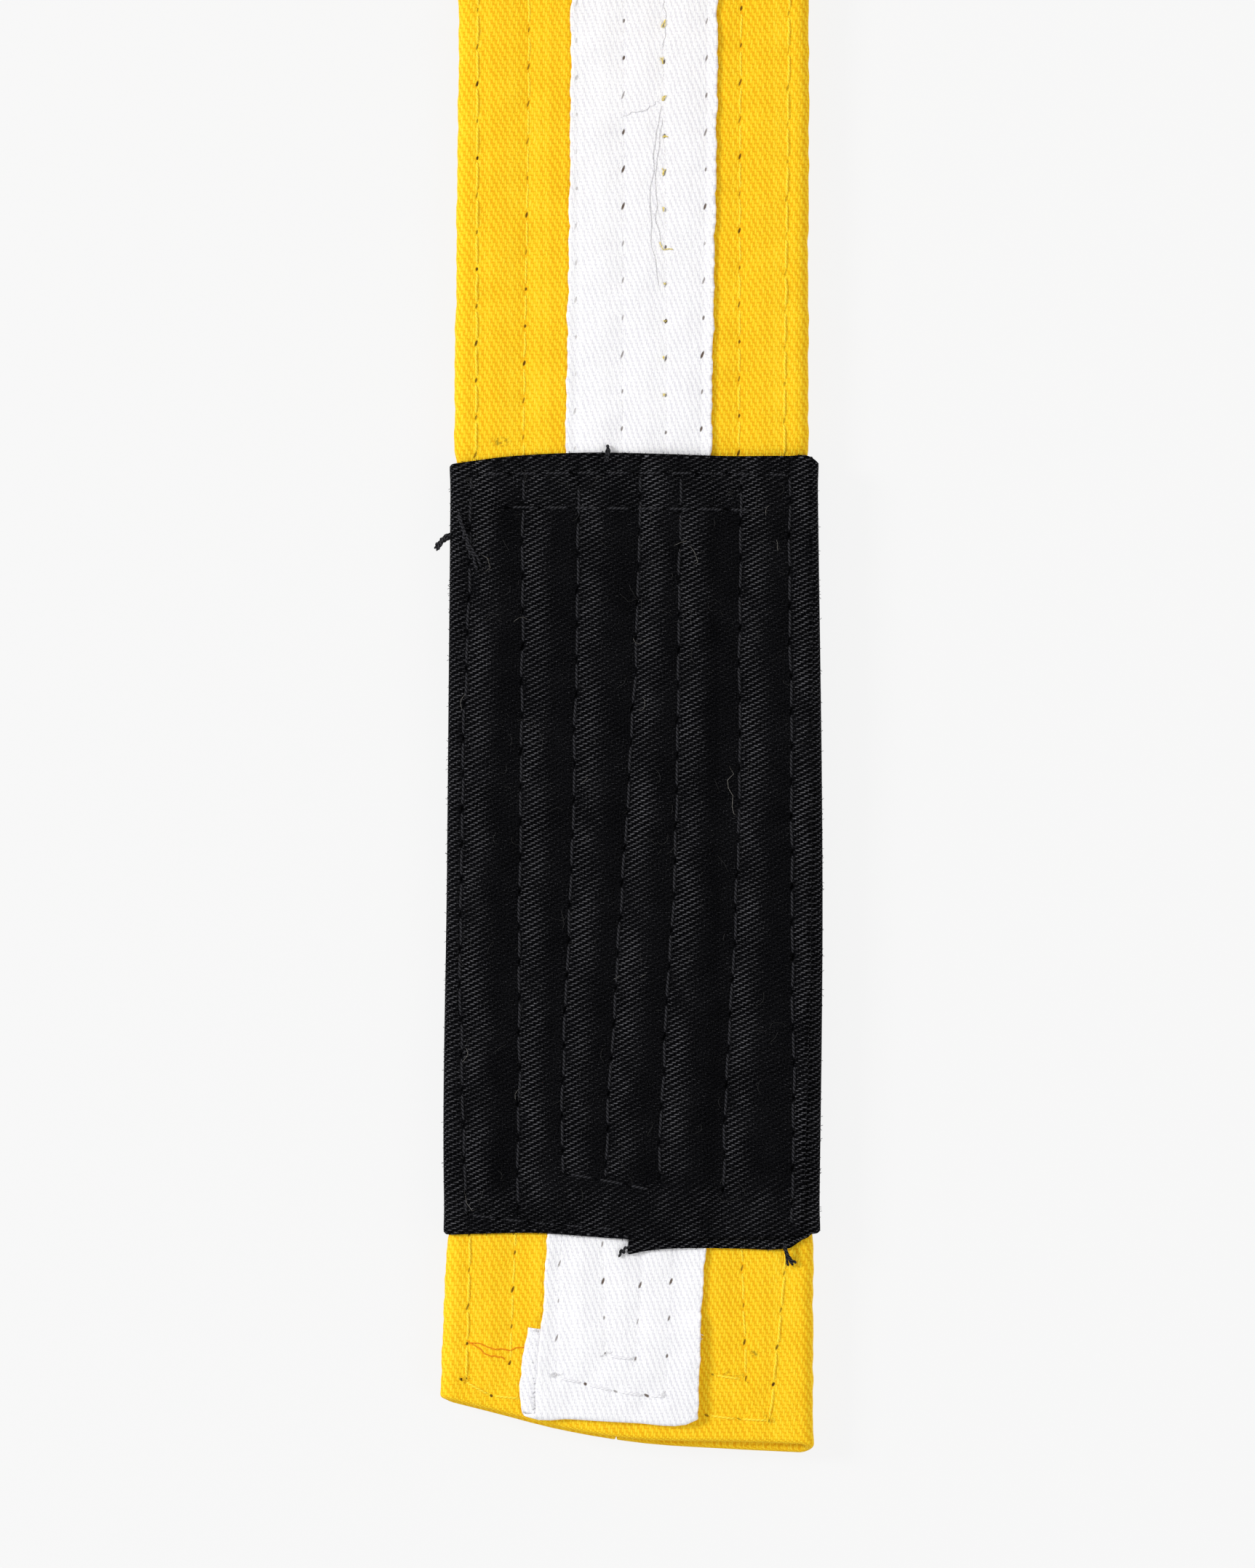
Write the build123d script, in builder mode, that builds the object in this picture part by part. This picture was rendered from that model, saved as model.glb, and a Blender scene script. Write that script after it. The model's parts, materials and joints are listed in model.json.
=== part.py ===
from build123d import *
from math import pi
import os

# A striped grade belt for martial arts. One end lies flat, face up, with a black rank bar
# sewn round it. The rest of the belt is wound up into a roll that stands on its rim.
# X runs across the belt, Y along it with the free tip towards -Y, and Z is up.

os.makedirs("parts", exist_ok=True)

# Belt, across its width and through its thickness
belt_width = 45.0
cover_cloth = 0.5
core_ply = 0.9
core_plies = 3
tape_width = 18.2
tape_centre = 1.0
tape_cloth = 0.45
lay_gap = 0.05
seam_gap = 0.6

# Sewing thread and the channels it sinks into
thread_width = 0.6
thread_height = 0.2
channel_width = 0.8
channel_depth = 0.25
outer_row_inset = 2.6
tape_row_inset = 0.9
tape_inner_row = 2.7

# Belt, along its length, measured from the tip
flat_run = 285.0
strap_hinge_run = 200.0
bar_hinge_run = 140.0
hinge_gap = 0.3
tip_slant = 6.4
tuck_depth = 12.0
core_end_gap = 1.5
row_end_run = 9.0
closing_row_inset = 3.0
tape_end_run = 7.0
tape_hem = 11.5
tape_hem_overhang = 2.0

# Roll
roll_radius = 58.0
turn_gap = 0.3
eye_radius = 8.5

# Rank bar, a sleeve of cloth round the belt
bar_cloth = 0.6
bar_length = 100.0
bar_run = 27.5
bar_slack = 0.9
bar_overlap_edge = 1.5
bar_fold_inset = 1.7
bar_slot = 0.3
bar_rows = 7
bar_edge_inset = 2.6
bar_row_inset = 2.4
bar_lower_cross_inset = 2.4
bar_upper_cross_insets = (2.3, 6.5)
tail_length = 3.0
tail_places_above = (-2.6,)
tail_places_below = (-1.2, 19.6, 20.9)

# Levels, from the surface the belt lies on
back_z = bar_cloth + lay_gap
cover_low = back_z + tape_cloth + lay_gap
core_low = cover_low + cover_cloth + lay_gap
core_step = core_ply + lay_gap
core_high = core_low + core_plies * core_step
cover_top = core_high + cover_cloth
front_z = cover_top + lay_gap + tape_cloth
bar_inner_top = front_z + lay_gap
bar_under_top = bar_inner_top + bar_cloth
bar_top = bar_under_top + lay_gap + bar_cloth

# Places along Y; the whole model is centred on the origin
tip_y = -(flat_run + roll_radius) / 2
roll_y = tip_y + flat_run
strap_hinge_y = tip_y + strap_hinge_run
bar_hinge_y = tip_y + bar_hinge_run
bar_y = tip_y + bar_run
tape_end_y = tip_y + tape_end_run

# Stitch rows across the belt
outer_row = belt_width / 2 - outer_row_inset
tape_left = tape_centre - tape_width / 2
tape_right = tape_centre + tape_width / 2
yellow_rows = (-outer_row, (tape_left - outer_row) / 2, (tape_right + outer_row) / 2, outer_row)
tape_outer_row = tape_width / 2 - tape_row_inset
white_row_steps = (-tape_outer_row, -tape_inner_row, tape_inner_row, tape_outer_row)
white_rows = [tape_centre + step for step in white_row_steps]
bar_inner = belt_width / 2 + bar_slack
bar_outer = bar_inner + bar_cloth
bar_fold_x = bar_outer - bar_fold_inset
bar_row_start = -bar_inner + bar_edge_inset
bar_row_pitch = -2 * bar_row_start / (bar_rows - 1)
bar_row_places = [bar_row_start + row * bar_row_pitch for row in range(bar_rows)]
bar_cross_left = bar_row_places[0] - thread_width / 2
bar_cross_right = bar_row_places[-1] + thread_width / 2
bar_cross_width = bar_cross_right - bar_cross_left
bar_cross_centre = (bar_cross_left + bar_cross_right) / 2
bar_cross_runs = [bar_lower_cross_inset] + [bar_length - inset for inset in bar_upper_cross_insets]

# Winding: each half turn is smaller than the one outside it by half the pitch of the turns
turn_pitch = front_z - back_z + turn_gap
half_turns = int((roll_radius - eye_radius) / (turn_pitch / 2))
middle_radius = roll_radius - (front_z - back_z) / 2

# Stretches that lie straight: where each starts and how far it runs towards the tip
lead_start = roll_y
lead_length = roll_y - strap_hinge_y - hinge_gap / 2
strap_start = strap_hinge_y - hinge_gap / 2
strap_length = strap_hinge_y - bar_hinge_y - hinge_gap
tip_start = bar_hinge_y - hinge_gap / 2
tip_length = tip_start - tip_y


def across(y):
    """The plane that cuts the belt across at y, seen from the roll."""
    return Plane.XZ.offset(-y)


def block(x_from, x_to, z_from, z_to, mode=Mode.ADD):
    """A rectangle between two places and two levels of the cross-section."""
    with Locations(((x_from + x_to) / 2, (z_from + z_to) / 2)):
        Rectangle(x_to - x_from, z_to - z_from, mode=mode)


def channels(rows, z_from, z_to):
    """The channels that a face's stitch rows sink into."""
    for x in rows:
        block(x - channel_width / 2, x + channel_width / 2, z_from, z_to, mode=Mode.SUBTRACT)


def cover_section(y):
    """Cover cloth: wrapped round the core, its two edges butted along the back."""
    half = belt_width / 2
    with BuildSketch(across(y)) as section:
        block(-half, half, cover_low, cover_top)
        inner_half = half - cover_cloth
        block(-inner_half, inner_half, cover_low + cover_cloth, core_high, mode=Mode.SUBTRACT)
        seam_left = tape_centre - seam_gap / 2
        block(seam_left, seam_left + seam_gap, cover_low, cover_low + cover_cloth, mode=Mode.SUBTRACT)
        channels(yellow_rows, cover_top - channel_depth, cover_top)
        channels(yellow_rows, cover_low, cover_low + channel_depth)
    return section.sketch


def ply_section(y, ply):
    """One ply of the core, counted up from the back."""
    half = belt_width / 2 - cover_cloth - lay_gap
    low = core_low + ply * core_step
    with BuildSketch(across(y)) as section:
        block(-half, half, low, low + core_ply)
    return section.sketch


def tape_section(y, front):
    """White tape down the middle of the front or the back."""
    low = cover_top + lay_gap if front else back_z
    high = low + tape_cloth
    with BuildSketch(across(y)) as section:
        block(tape_centre - tape_width / 2, tape_centre + tape_width / 2, low, high)
        if front:
            channels(white_rows, high - channel_depth, high)
        else:
            channels(white_rows, low, low + channel_depth)
    return section.sketch


def thread_section(y, rows, face, front):
    """The threads of some rows, lying in the channels of the face at that level."""
    low = face - thread_height if front else face
    with BuildSketch(across(y)) as section:
        for x in rows:
            block(x - thread_width / 2, x + thread_width / 2, low, low + thread_height)
    return section.sketch


def roll_path():
    """The middle line of the belt's thickness in the roll: half turns that shrink inwards."""
    with BuildLine(Plane.YZ) as path:
        for turn in range(half_turns):
            radius = middle_radius - turn * turn_pitch / 2
            if turn % 2 == 0:
                centre_z = back_z + roll_radius
                ThreePointArc(
                    (roll_y, centre_z - radius), (roll_y + radius, centre_z), (roll_y, centre_z + radius)
                )
            else:
                centre_z = back_z + roll_radius + turn_pitch / 2
                ThreePointArc(
                    (roll_y, centre_z + radius), (roll_y - radius, centre_z), (roll_y, centre_z - radius)
                )
    return path.line


def slanted_strip(z, width, inset, depth):
    """A strip at one level, parallel to the slanted end and inset from it."""
    half = width / 2
    left = tip_y + inset + tip_slant * (0.5 + half / belt_width)
    right = tip_y + inset + tip_slant * (0.5 - half / belt_width)
    with BuildSketch(Plane.XY.offset(z)) as strip:
        with BuildLine():
            Polyline((-half, left), (half, right), (half, right + depth), (-half, left + depth), close=True)
        make_face()
    return strip.sketch


def closing_y(x):
    """Where the row that closes the end crosses the place x."""
    return tip_y + closing_row_inset + tip_slant * (0.5 - x / belt_width)


# ---------------------------------------------------------------- layers of the belt
# Each layer is one long piece. It is a separate solid in each stretch: the wound roll, the
# flat lead into it, the strap, and the tip. The strap and the tip turn at the two bends.
threads = {
    "needle_threads_yellow": (yellow_rows, cover_top, True),
    "needle_threads_white": (white_rows, front_z, True),
    "bobbin_threads_yellow": (yellow_rows, cover_low, False),
    "bobbin_threads_white": (white_rows, back_z, False),
}
ply_names = ["core_back_ply", "core_middle_ply", "core_front_ply"]


def layer_sections(y):
    """Every layer's cross-section at y, by name."""
    sections = {"cover": cover_section(y)}
    for ply in range(core_plies):
        sections[ply_names[ply]] = ply_section(y, ply)
    sections["stripe_front"] = tape_section(y, True)
    sections["stripe_back"] = tape_section(y, False)
    for name, (rows, face, front) in threads.items():
        sections[name] = thread_section(y, rows, face, front)
    return sections


# The wound roll
for name, section in layer_sections(roll_y).items():
    with BuildPart() as roll_layer:
        sweep(sections=section, path=roll_path())
    roll_layer.part.label = "roll_" + name
    export_step(roll_layer.part, "parts/" + roll_layer.part.label + ".step")

# The flat stretch that leads into the roll
for name, section in layer_sections(lead_start).items():
    with BuildPart() as lead_layer:
        extrude(section, amount=lead_length)
    lead_layer.part.label = "lead_" + name
    export_step(lead_layer.part, "parts/" + lead_layer.part.label + ".step")

# The strap, between the two bends
for name, section in layer_sections(strap_start).items():
    with BuildPart() as strap_layer:
        extrude(section, amount=strap_length)
    strap_layer.part.label = "strap_" + name
    export_step(strap_layer.part, "parts/" + strap_layer.part.label + ".step")

# ---------------------------------------------------------------- the tip
tip_sections = layer_sections(tip_start)
margin = 2.0

# Cover: cut at a slant and turned in, front and back, so both faces are double at the end
with BuildPart() as tip_cover:
    extrude(tip_sections["cover"], amount=tip_length)
    for level in (cover_low + cover_cloth, core_high - cover_cloth):
        extrude(slanted_strip(level, belt_width, 0, tuck_depth), amount=cover_cloth)
    extrude(
        slanted_strip(0, belt_width + 2 * margin, -tip_slant - margin, tip_slant + margin),
        amount=bar_top, mode=Mode.SUBTRACT,
    )
tip_cover.part.label = "tip_cover"
export_step(tip_cover.part, "parts/tip_cover.step")

# Core: the outer plies stop at the turned-in cloth, the middle one goes on between
for ply in range(core_plies):
    between = 0 < ply < core_plies - 1
    stop = core_end_gap if between else tuck_depth + lay_gap
    with BuildPart() as tip_ply:
        extrude(tip_sections[ply_names[ply]], amount=tip_length)
        waste = tip_slant + tuck_depth + margin
        extrude(
            slanted_strip(0, belt_width + 2 * margin, stop - waste, waste),
            amount=bar_top, mode=Mode.SUBTRACT,
        )
    tip_ply.part.label = "tip_" + ply_names[ply]
    export_step(tip_ply.part, "parts/" + tip_ply.part.label + ".step")

# Front tape: its end is folded under, so it is double there, and the fold shows at the left
hem_low = cover_top + lay_gap
hem_top = hem_low + 2 * tape_cloth
with BuildPart() as tip_stripe_front:
    extrude(tip_sections["stripe_front"], amount=tip_start - tape_end_y)
    with BuildSketch(across(tape_end_y + tape_hem)):
        block(tape_left - tape_hem_overhang, tape_right, hem_low, hem_low + tape_cloth)
        block(tape_left, tape_right, hem_low, hem_top)
        channels(white_rows, hem_top - channel_depth, hem_top)
    extrude(amount=tape_hem)
tip_stripe_front.part.label = "tip_stripe_front"
export_step(tip_stripe_front.part, "parts/tip_stripe_front.step")

with BuildPart() as tip_stripe_back:
    extrude(tip_sections["stripe_back"], amount=tip_start - tape_end_y)
tip_stripe_back.part.label = "tip_stripe_back"
export_step(tip_stripe_back.part, "parts/tip_stripe_back.step")

# Long rows: they run on under the rank bar and stop short of the end
for name, (rows, face, front) in threads.items():
    on_hem = name == "needle_threads_white"
    stop_y = tape_end_y + tape_hem + lay_gap if on_hem else tip_y + row_end_run
    with BuildPart() as tip_threads:
        extrude(tip_sections[name], amount=tip_start - stop_y)
        if on_hem:
            extrude(
                thread_section(tape_end_y + tape_hem - lay_gap, rows, hem_top, True),
                amount=tape_hem - tape_row_inset,
            )
    tip_threads.part.label = "tip_" + name
    export_step(tip_threads.part, "parts/" + tip_threads.part.label + ".step")

# Closing row: it runs along the slanted end on the yellow, on both sides of the tape
with BuildPart() as tip_closing_threads:
    for level in (cover_top + lay_gap, cover_low - lay_gap - thread_height):
        for x_from, x_to in (
            (-outer_row, tape_left - tape_hem_overhang - thread_width),
            (tape_right + thread_width, outer_row),
        ):
            with BuildSketch(Plane.XY.offset(level)):
                with BuildLine():
                    Line((x_from, closing_y(x_from)), (x_to, closing_y(x_to)))
                trace(line_width=thread_width)
            extrude(amount=thread_height)
tip_closing_threads.part.label = "tip_closing_threads"
export_step(tip_closing_threads.part, "parts/tip_closing_threads.step")

# The row that holds the front tape's folded end down
with BuildPart() as stripe_end_threads:
    with BuildSketch(Plane.XY.offset(hem_top + lay_gap)):
        with BuildLine():
            Line(
                (white_rows[0], tape_end_y + closing_row_inset),
                (white_rows[3], tape_end_y + closing_row_inset),
            )
        trace(line_width=thread_width)
    extrude(amount=thread_height)
stripe_end_threads.part.label = "stripe_end_threads"
export_step(stripe_end_threads.part, "parts/stripe_end_threads.step")

# ---------------------------------------------------------------- the rank bar


def bar_level(x):
    """The top of the rank bar at x: it is double where its two ends overlap."""
    return bar_top if x > bar_overlap_edge else bar_under_top


# Sleeve: it starts under its own overlap, goes round the right edge, the back and the left
# edge, and comes back over the front to end in a fold along the right edge
with BuildPart() as rank_bar_sleeve:
    with BuildSketch(across(bar_y + bar_length)):
        block(-bar_outer, bar_outer, 0, bar_under_top)
        block(-bar_inner, bar_inner, bar_cloth, bar_inner_top, mode=Mode.SUBTRACT)
        slot_right = bar_overlap_edge + bar_slot
        block(bar_overlap_edge, slot_right, bar_inner_top, bar_under_top, mode=Mode.SUBTRACT)
        block(bar_overlap_edge - bar_cloth, bar_overlap_edge, bar_inner_top, bar_top)
        block(bar_overlap_edge - bar_cloth, bar_fold_x, bar_under_top + lay_gap, bar_top)
        for x in bar_row_places:
            channels([x], bar_level(x) - channel_depth, bar_level(x))
        channels(bar_row_places, 0, channel_depth)
    extrude(amount=bar_length)
    with BuildSketch(Plane.XY):
        for run in bar_cross_runs:
            with Locations((bar_cross_centre, bar_y + run)):
                Rectangle(bar_cross_width + 2 * lay_gap, channel_width)
    extrude(amount=channel_depth, mode=Mode.SUBTRACT)
rank_bar_sleeve.part.label = "rank_bar_sleeve"
export_step(rank_bar_sleeve.part, "parts/rank_bar_sleeve.step")

# Long rows on the front of the bar
with BuildPart() as rank_bar_needle_threads:
    for x in bar_row_places:
        extrude(
            thread_section(bar_y + bar_length - bar_row_inset, [x], bar_level(x), True),
            amount=bar_length - 2 * bar_row_inset,
        )
rank_bar_needle_threads.part.label = "rank_bar_needle_threads"
export_step(rank_bar_needle_threads.part, "parts/rank_bar_needle_threads.step")

# Rows across the bar's two ends, on the front: one stretch on each side of the overlap's edge
with BuildPart() as rank_bar_cross_threads:
    for run in bar_cross_runs:
        for x_from, x_to in (
            (bar_cross_left, bar_overlap_edge - 2 * bar_cloth),
            (bar_overlap_edge, bar_cross_right),
        ):
            with BuildSketch(Plane.XY.offset(bar_level(x_to) + lay_gap)):
                with Locations(((x_from + x_to) / 2, bar_y + run)):
                    Rectangle(x_to - x_from, thread_width)
            extrude(amount=thread_height)
rank_bar_cross_threads.part.label = "rank_bar_cross_threads"
export_step(rank_bar_cross_threads.part, "parts/rank_bar_cross_threads.step")

# The same rows on the back, sunk level with the cloth
with BuildPart() as rank_bar_bobbin_threads:
    extrude(
        thread_section(bar_y + bar_length - bar_row_inset, bar_row_places, lay_gap, False),
        amount=bar_length - 2 * bar_row_inset,
    )
    with BuildSketch(Plane.XY.offset(lay_gap)):
        for run in bar_cross_runs:
            with Locations((bar_cross_centre, bar_y + run)):
                Rectangle(bar_cross_width, thread_width)
    extrude(amount=thread_height)
rank_bar_bobbin_threads.part.label = "rank_bar_bobbin_threads"
export_step(rank_bar_bobbin_threads.part, "parts/rank_bar_bobbin_threads.step")

# Cut ends of thread, at the bar's two ends
with BuildPart() as rank_bar_thread_tails:
    with BuildSketch(Plane.XY.offset(front_z + lay_gap)):
        for places, centre_y in (
            (tail_places_above, bar_y + bar_length + lay_gap + tail_length / 2),
            (tail_places_below, bar_y - lay_gap - tail_length / 2),
        ):
            for x in places:
                with Locations((x, centre_y)):
                    Rectangle(thread_width, tail_length)
    extrude(amount=thread_height)
rank_bar_thread_tails.part.label = "rank_bar_thread_tails"
export_step(rank_bar_thread_tails.part, "parts/rank_bar_thread_tails.step")

half_turn_radii = [middle_radius - turn * turn_pitch / 2 for turn in range(half_turns)]
print("belt length", round(flat_run + pi * sum(half_turn_radii)), "turns", half_turns / 2)
print("bends at y", strap_hinge_y, bar_hinge_y, "z", front_z)
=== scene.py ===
import json
import math
import random

import bpy
import mathutils
import numpy as np
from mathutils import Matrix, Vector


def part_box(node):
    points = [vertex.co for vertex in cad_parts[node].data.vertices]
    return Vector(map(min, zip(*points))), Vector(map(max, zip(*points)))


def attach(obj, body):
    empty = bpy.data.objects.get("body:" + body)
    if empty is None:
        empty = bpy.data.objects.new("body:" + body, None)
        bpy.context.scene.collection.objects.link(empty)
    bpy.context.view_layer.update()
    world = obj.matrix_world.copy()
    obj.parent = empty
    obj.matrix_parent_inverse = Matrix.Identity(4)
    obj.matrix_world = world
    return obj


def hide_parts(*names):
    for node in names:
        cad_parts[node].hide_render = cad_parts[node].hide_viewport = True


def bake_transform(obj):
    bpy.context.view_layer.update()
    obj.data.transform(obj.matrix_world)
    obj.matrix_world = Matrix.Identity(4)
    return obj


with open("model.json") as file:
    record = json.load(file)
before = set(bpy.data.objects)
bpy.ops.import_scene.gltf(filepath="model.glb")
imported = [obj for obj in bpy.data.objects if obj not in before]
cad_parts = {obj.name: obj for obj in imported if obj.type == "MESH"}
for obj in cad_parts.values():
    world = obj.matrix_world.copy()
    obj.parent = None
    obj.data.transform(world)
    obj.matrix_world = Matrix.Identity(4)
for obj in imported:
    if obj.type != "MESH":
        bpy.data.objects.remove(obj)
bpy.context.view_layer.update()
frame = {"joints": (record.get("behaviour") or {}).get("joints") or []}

MM = 0.001
scene = bpy.context.scene
random_source = random.Random(7)

# ------------------------------------------------------------------ sizes from the frame, in mm


def box_mm(node):
    """A CAD node's lowest and highest corners, in mm."""
    low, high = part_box(node)
    return low / MM, high / MM


cover_box = box_mm("tip_cover")
tape_box = box_mm("lead_stripe_front")
back_tape_box = box_mm("lead_stripe_back")
bar_box = box_mm("rank_bar_sleeve")
lead_box = box_mm("lead_cover")
roll_box = box_mm("roll_stripe_back")
joints = {joint["name"]: joint for joint in frame["joints"]}

belt_half = cover_box[1].x
tip_y = cover_box[0].y
cover_floor = cover_box[0].z
cover_top = cover_box[1].z
back_z = back_tape_box[0].z
front_z = tape_box[1].z
stack = front_z - back_z
roll_y = lead_box[1].y
roll_radius = (roll_box[1].z - roll_box[0].z) / 2
flat_run = roll_y - tip_y
bar_from = bar_box[0].y - tip_y
bar_to = bar_box[1].y - tip_y
strap_bend = joints["strap_bend"]["pos_m"][1] / MM - tip_y
tip_bend = joints["tip_bend"]["pos_m"][1] / MM - tip_y

# ------------------------------------------------------------------ camera
# Straight down on the belt's end, which fills the view, through a long lens
VIEW_LENGTH = 200.9
VIEW_CENTRE = (-0.7, tip_y + 85.7)
CAMERA_HEIGHT = 1250.0
SENSOR = 24.0

camera_data = bpy.data.cameras.new("camera")
camera_data.sensor_fit = "VERTICAL"
camera_data.sensor_height = SENSOR
camera_data.lens = SENSOR * (CAMERA_HEIGHT - front_z) / VIEW_LENGTH
camera_data.clip_start = 0.05
camera_data.clip_end = 20.0
camera = bpy.data.objects.new("camera", camera_data)
camera.location = (VIEW_CENTRE[0] * MM, VIEW_CENTRE[1] * MM, CAMERA_HEIGHT * MM)
camera.rotation_euler = (0.0, 0.0, 0.0)
scene.collection.objects.link(camera)
scene.camera = camera

# ------------------------------------------------------------------ the roll, the bends and the cloth

TURN_GAP = 0.3
EYE_RADIUS = 8.5
turn_pitch = stack + TURN_GAP
half_turns = int((roll_radius - EYE_RADIUS) / (turn_pitch / 2))
turn_radius = roll_radius - np.arange(half_turns) * turn_pitch / 2
turn_centre = back_z + roll_radius + np.where(np.arange(half_turns) % 2 == 0, 0, turn_pitch / 2)
turn_length = math.pi * (turn_radius - stack / 2)
turn_start = np.concatenate([[0], np.cumsum(turn_length)[:-1]])
belt_length = flat_run + float(turn_length.sum())

# Where the belt's pieces are divided, between its two bends, and how far each bend spreads
SPLIT = strap_bend - 11.5
STRAP_BEND_SPREAD = 11.0
TIP_BEND_SPREAD = 11.0

# Cloth and thread, in mm
COVER_CLOTH = 0.5
TAPE_CLOTH = 0.5
TAPE_GAP = 0.05
BAR_CLOTH = 0.6
STITCH = 4.75
ROW_MARK = 900
BAR_STITCH = 4.5
THREAD_RADIUS = 0.17
HEM_DEPTH = 12.0
FOLD_RADIUS = 0.62


def step(value):
    """0 below 0, 1 above 1, and smooth between."""
    t = np.clip(value, 0, 1)
    return t * t * (3 - 2 * t)


def line_through(*points):
    """A smooth line given by a few points: distance along the belt, place across it."""
    along = np.array([p[0] for p in points], float)
    across = np.array([p[1] for p in points], float)
    slope = np.gradient(across, along)

    def line(u):
        u = np.clip(np.asarray(u, float), along[0], along[-1])
        i = np.clip(np.searchsorted(along, u, side="right") - 1, 0, len(along) - 2)
        h = along[i + 1] - along[i]
        t = (u - along[i]) / h
        return (
            (2 * t**3 - 3 * t**2 + 1) * across[i] + (t**3 - 2 * t**2 + t) * h * slope[i]
            + (3 * t**2 - 2 * t**3) * across[i + 1] + (t**3 - t**2) * h * slope[i + 1]
        )

    return line


def wander(u, seed, size, shortest, longest):
    """A slow irregular drift, the same each run: a few sine waves of seeded lengths."""
    source = random.Random(seed)
    total = 0.0 * np.asarray(u, float)
    waves = 5
    for wave in range(waves):
        length = shortest * (longest / shortest) ** (wave / (waves - 1))
        length *= source.uniform(0.85, 1.15)
        total = total + np.sin(u / length * math.tau + source.uniform(0, math.tau))
    return total * size / math.sqrt(waves)


def lay(u, x, w):
    """The place in the frame of a point of the belt: u along it from the tip, x across, w high."""
    u, x, w = np.broadcast_arrays(np.asarray(u, float), np.asarray(x, float), np.asarray(w, float))
    s = np.clip(u - flat_run, 0, None)
    turn = np.clip(np.searchsorted(turn_start, s, side="right") - 1, 0, half_turns - 1)
    angle = (s - turn_start[turn]) / (turn_radius[turn] - stack / 2)
    radius = turn_radius[turn] - (w - back_z)
    side = np.where(turn % 2 == 0, 1.0, -1.0)
    wound = u > flat_run
    y = np.where(wound, roll_y + side * radius * np.sin(angle), tip_y + u)
    z = np.where(wound, turn_centre[turn] - side * radius * np.cos(angle), w)
    return np.stack([x, y, z], axis=-1)


# ------------------------------------------------------------------ lines drawn on the belt
# Each runs from the tip to where the belt leaves for the roll, and stays straight from there.
SETTLED = flat_run - 40
tape_left_place, tape_right_place = tape_box[0].x, tape_box[1].x

left_edge = line_through(
    (0, -24.7), (24, -24.0), (80, -23.3), (133, -22.9), (186, -22.35), (SETTLED, -belt_half)
)
right_edge = line_through(
    (0, 23.1), (24, 23.15), (80, 22.8), (133, 22.5), (186, 22.6), (SETTLED, belt_half)
)
tape_left = line_through(
    (4, -12.4), (9, -12.1), (17, -11.4), (28, -10.7), (133, -8.4), (186, -7.7), (SETTLED, tape_left_place)
)
tape_right = line_through(
    (4, 8.1), (15.5, 8.5), (27, 9.2), (133, 9.8), (186, 10.6), (SETTLED, tape_right_place)
)
# The upper edge of the lower, back fold at the tip, and how far the front fold stops short of it
tip_edge = line_through((-24.8, 6.9), (-18, 5.2), (-10, 3.15), (1, 1.3), (12, 0.55), (23.2, 0.0))


class Row:
    """A long row of stitches: its line, where it ends near the tip, and where its needle holes fall."""

    def __init__(self, number, end, *points):
        self.number, self.end = number, end
        self.line = line_through(*points)

    def phase(self, u):
        """Stitches counted along the row; a needle hole falls at each whole number."""
        return (np.asarray(u, float) - self.end) / STITCH


def row_place(side, inset):
    return side * (belt_half - inset)


ROWS = [
    Row(1, 9.2, (9, -21.4), (27, -20.9), (133, -20.1), (186, -19.9), (SETTLED, row_place(-1, 2.6))),
    Row(2, 11.4, (11, -15.8), (27, -15.1), (133, -14.0), (186, -13.3), (SETTLED, -14.0)),
    Row(3, 10.0, (10, -9.9), (27, -9.3), (133, -7.4), (186, -7.2), (SETTLED, -7.2)),
    Row(4, 12.5, (12, -3.6), (27, -3.9), (133, -1.4), (186, -1.2), (SETTLED, -1.7)),
    Row(5, 12.0, (12, 0.3), (27, 1.3), (133, 4.2), (186, 3.9), (SETTLED, 3.7)),
    Row(6, 7.7, (7, 4.0), (27, 5.2), (133, 8.8), (186, 9.5), (SETTLED, 9.2)),
    Row(7, 9.4, (9, 14.5), (27, 13.9), (133, 13.6), (186, 13.9), (SETTLED, 15.0)),
    Row(8, 4.0, (4, 17.5), (23, 19.4), (133, 19.4), (186, 20.0), (SETTLED, row_place(1, 2.6))),
]
YELLOW_ROWS = [row for row in ROWS if row.number in (1, 2, 7, 8)]
WHITE_ROWS = [row for row in ROWS if row.number in (3, 4, 5, 6)]


# ------------------------------------------------------------------ meshes


def new_piece(name, points, faces, attributes, material, ends=0):
    """A smooth mesh object from points in mm, with named vectors on its points.

    The last faces, as many as ends, close its ends and are flat.
    """
    mesh = bpy.data.meshes.new(name)
    mesh.from_pydata((points * MM).tolist(), [], faces)
    for key, values in attributes.items():
        layer = mesh.attributes.new(key, "FLOAT_VECTOR", "POINT")
        layer.data.foreach_set("vector", np.ascontiguousarray(values, dtype=np.float32).reshape(-1))
    mesh.polygons.foreach_set("use_smooth", np.arange(len(faces)) < len(faces) - ends)
    mesh.validate()
    mesh.update()
    mesh.materials.append(material)
    piece = bpy.data.objects.new(name, mesh)
    scene.collection.objects.link(piece)
    return piece


TINY = 1e-12
EDGE_ANGLES = np.radians([64, 32, 0, -32, -64])
END_ROW = 0.05


def unit(vectors):
    return vectors / (np.linalg.norm(vectors, axis=-1, keepdims=True) + TINY)


def run_across(x, w):
    """Distance along each row of a grid of points, from its first point."""
    gaps = np.hypot(np.diff(x, axis=1, prepend=x[:, :1]), np.diff(w, axis=1, prepend=w[:, :1]))
    return np.cumsum(gaps, axis=1)


def with_end_rows(values, shares):
    """A grid with one more row close to each end, which keeps the shading of the cut ends crisp."""
    first = values[:1] + (values[1:2] - values[:1]) * shares[0]
    last = values[-1:] + (values[-2:-1] - values[-1:]) * shares[1]
    return np.concatenate([values[:1], first, values[1:-1], last, values[-1:]])


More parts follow.
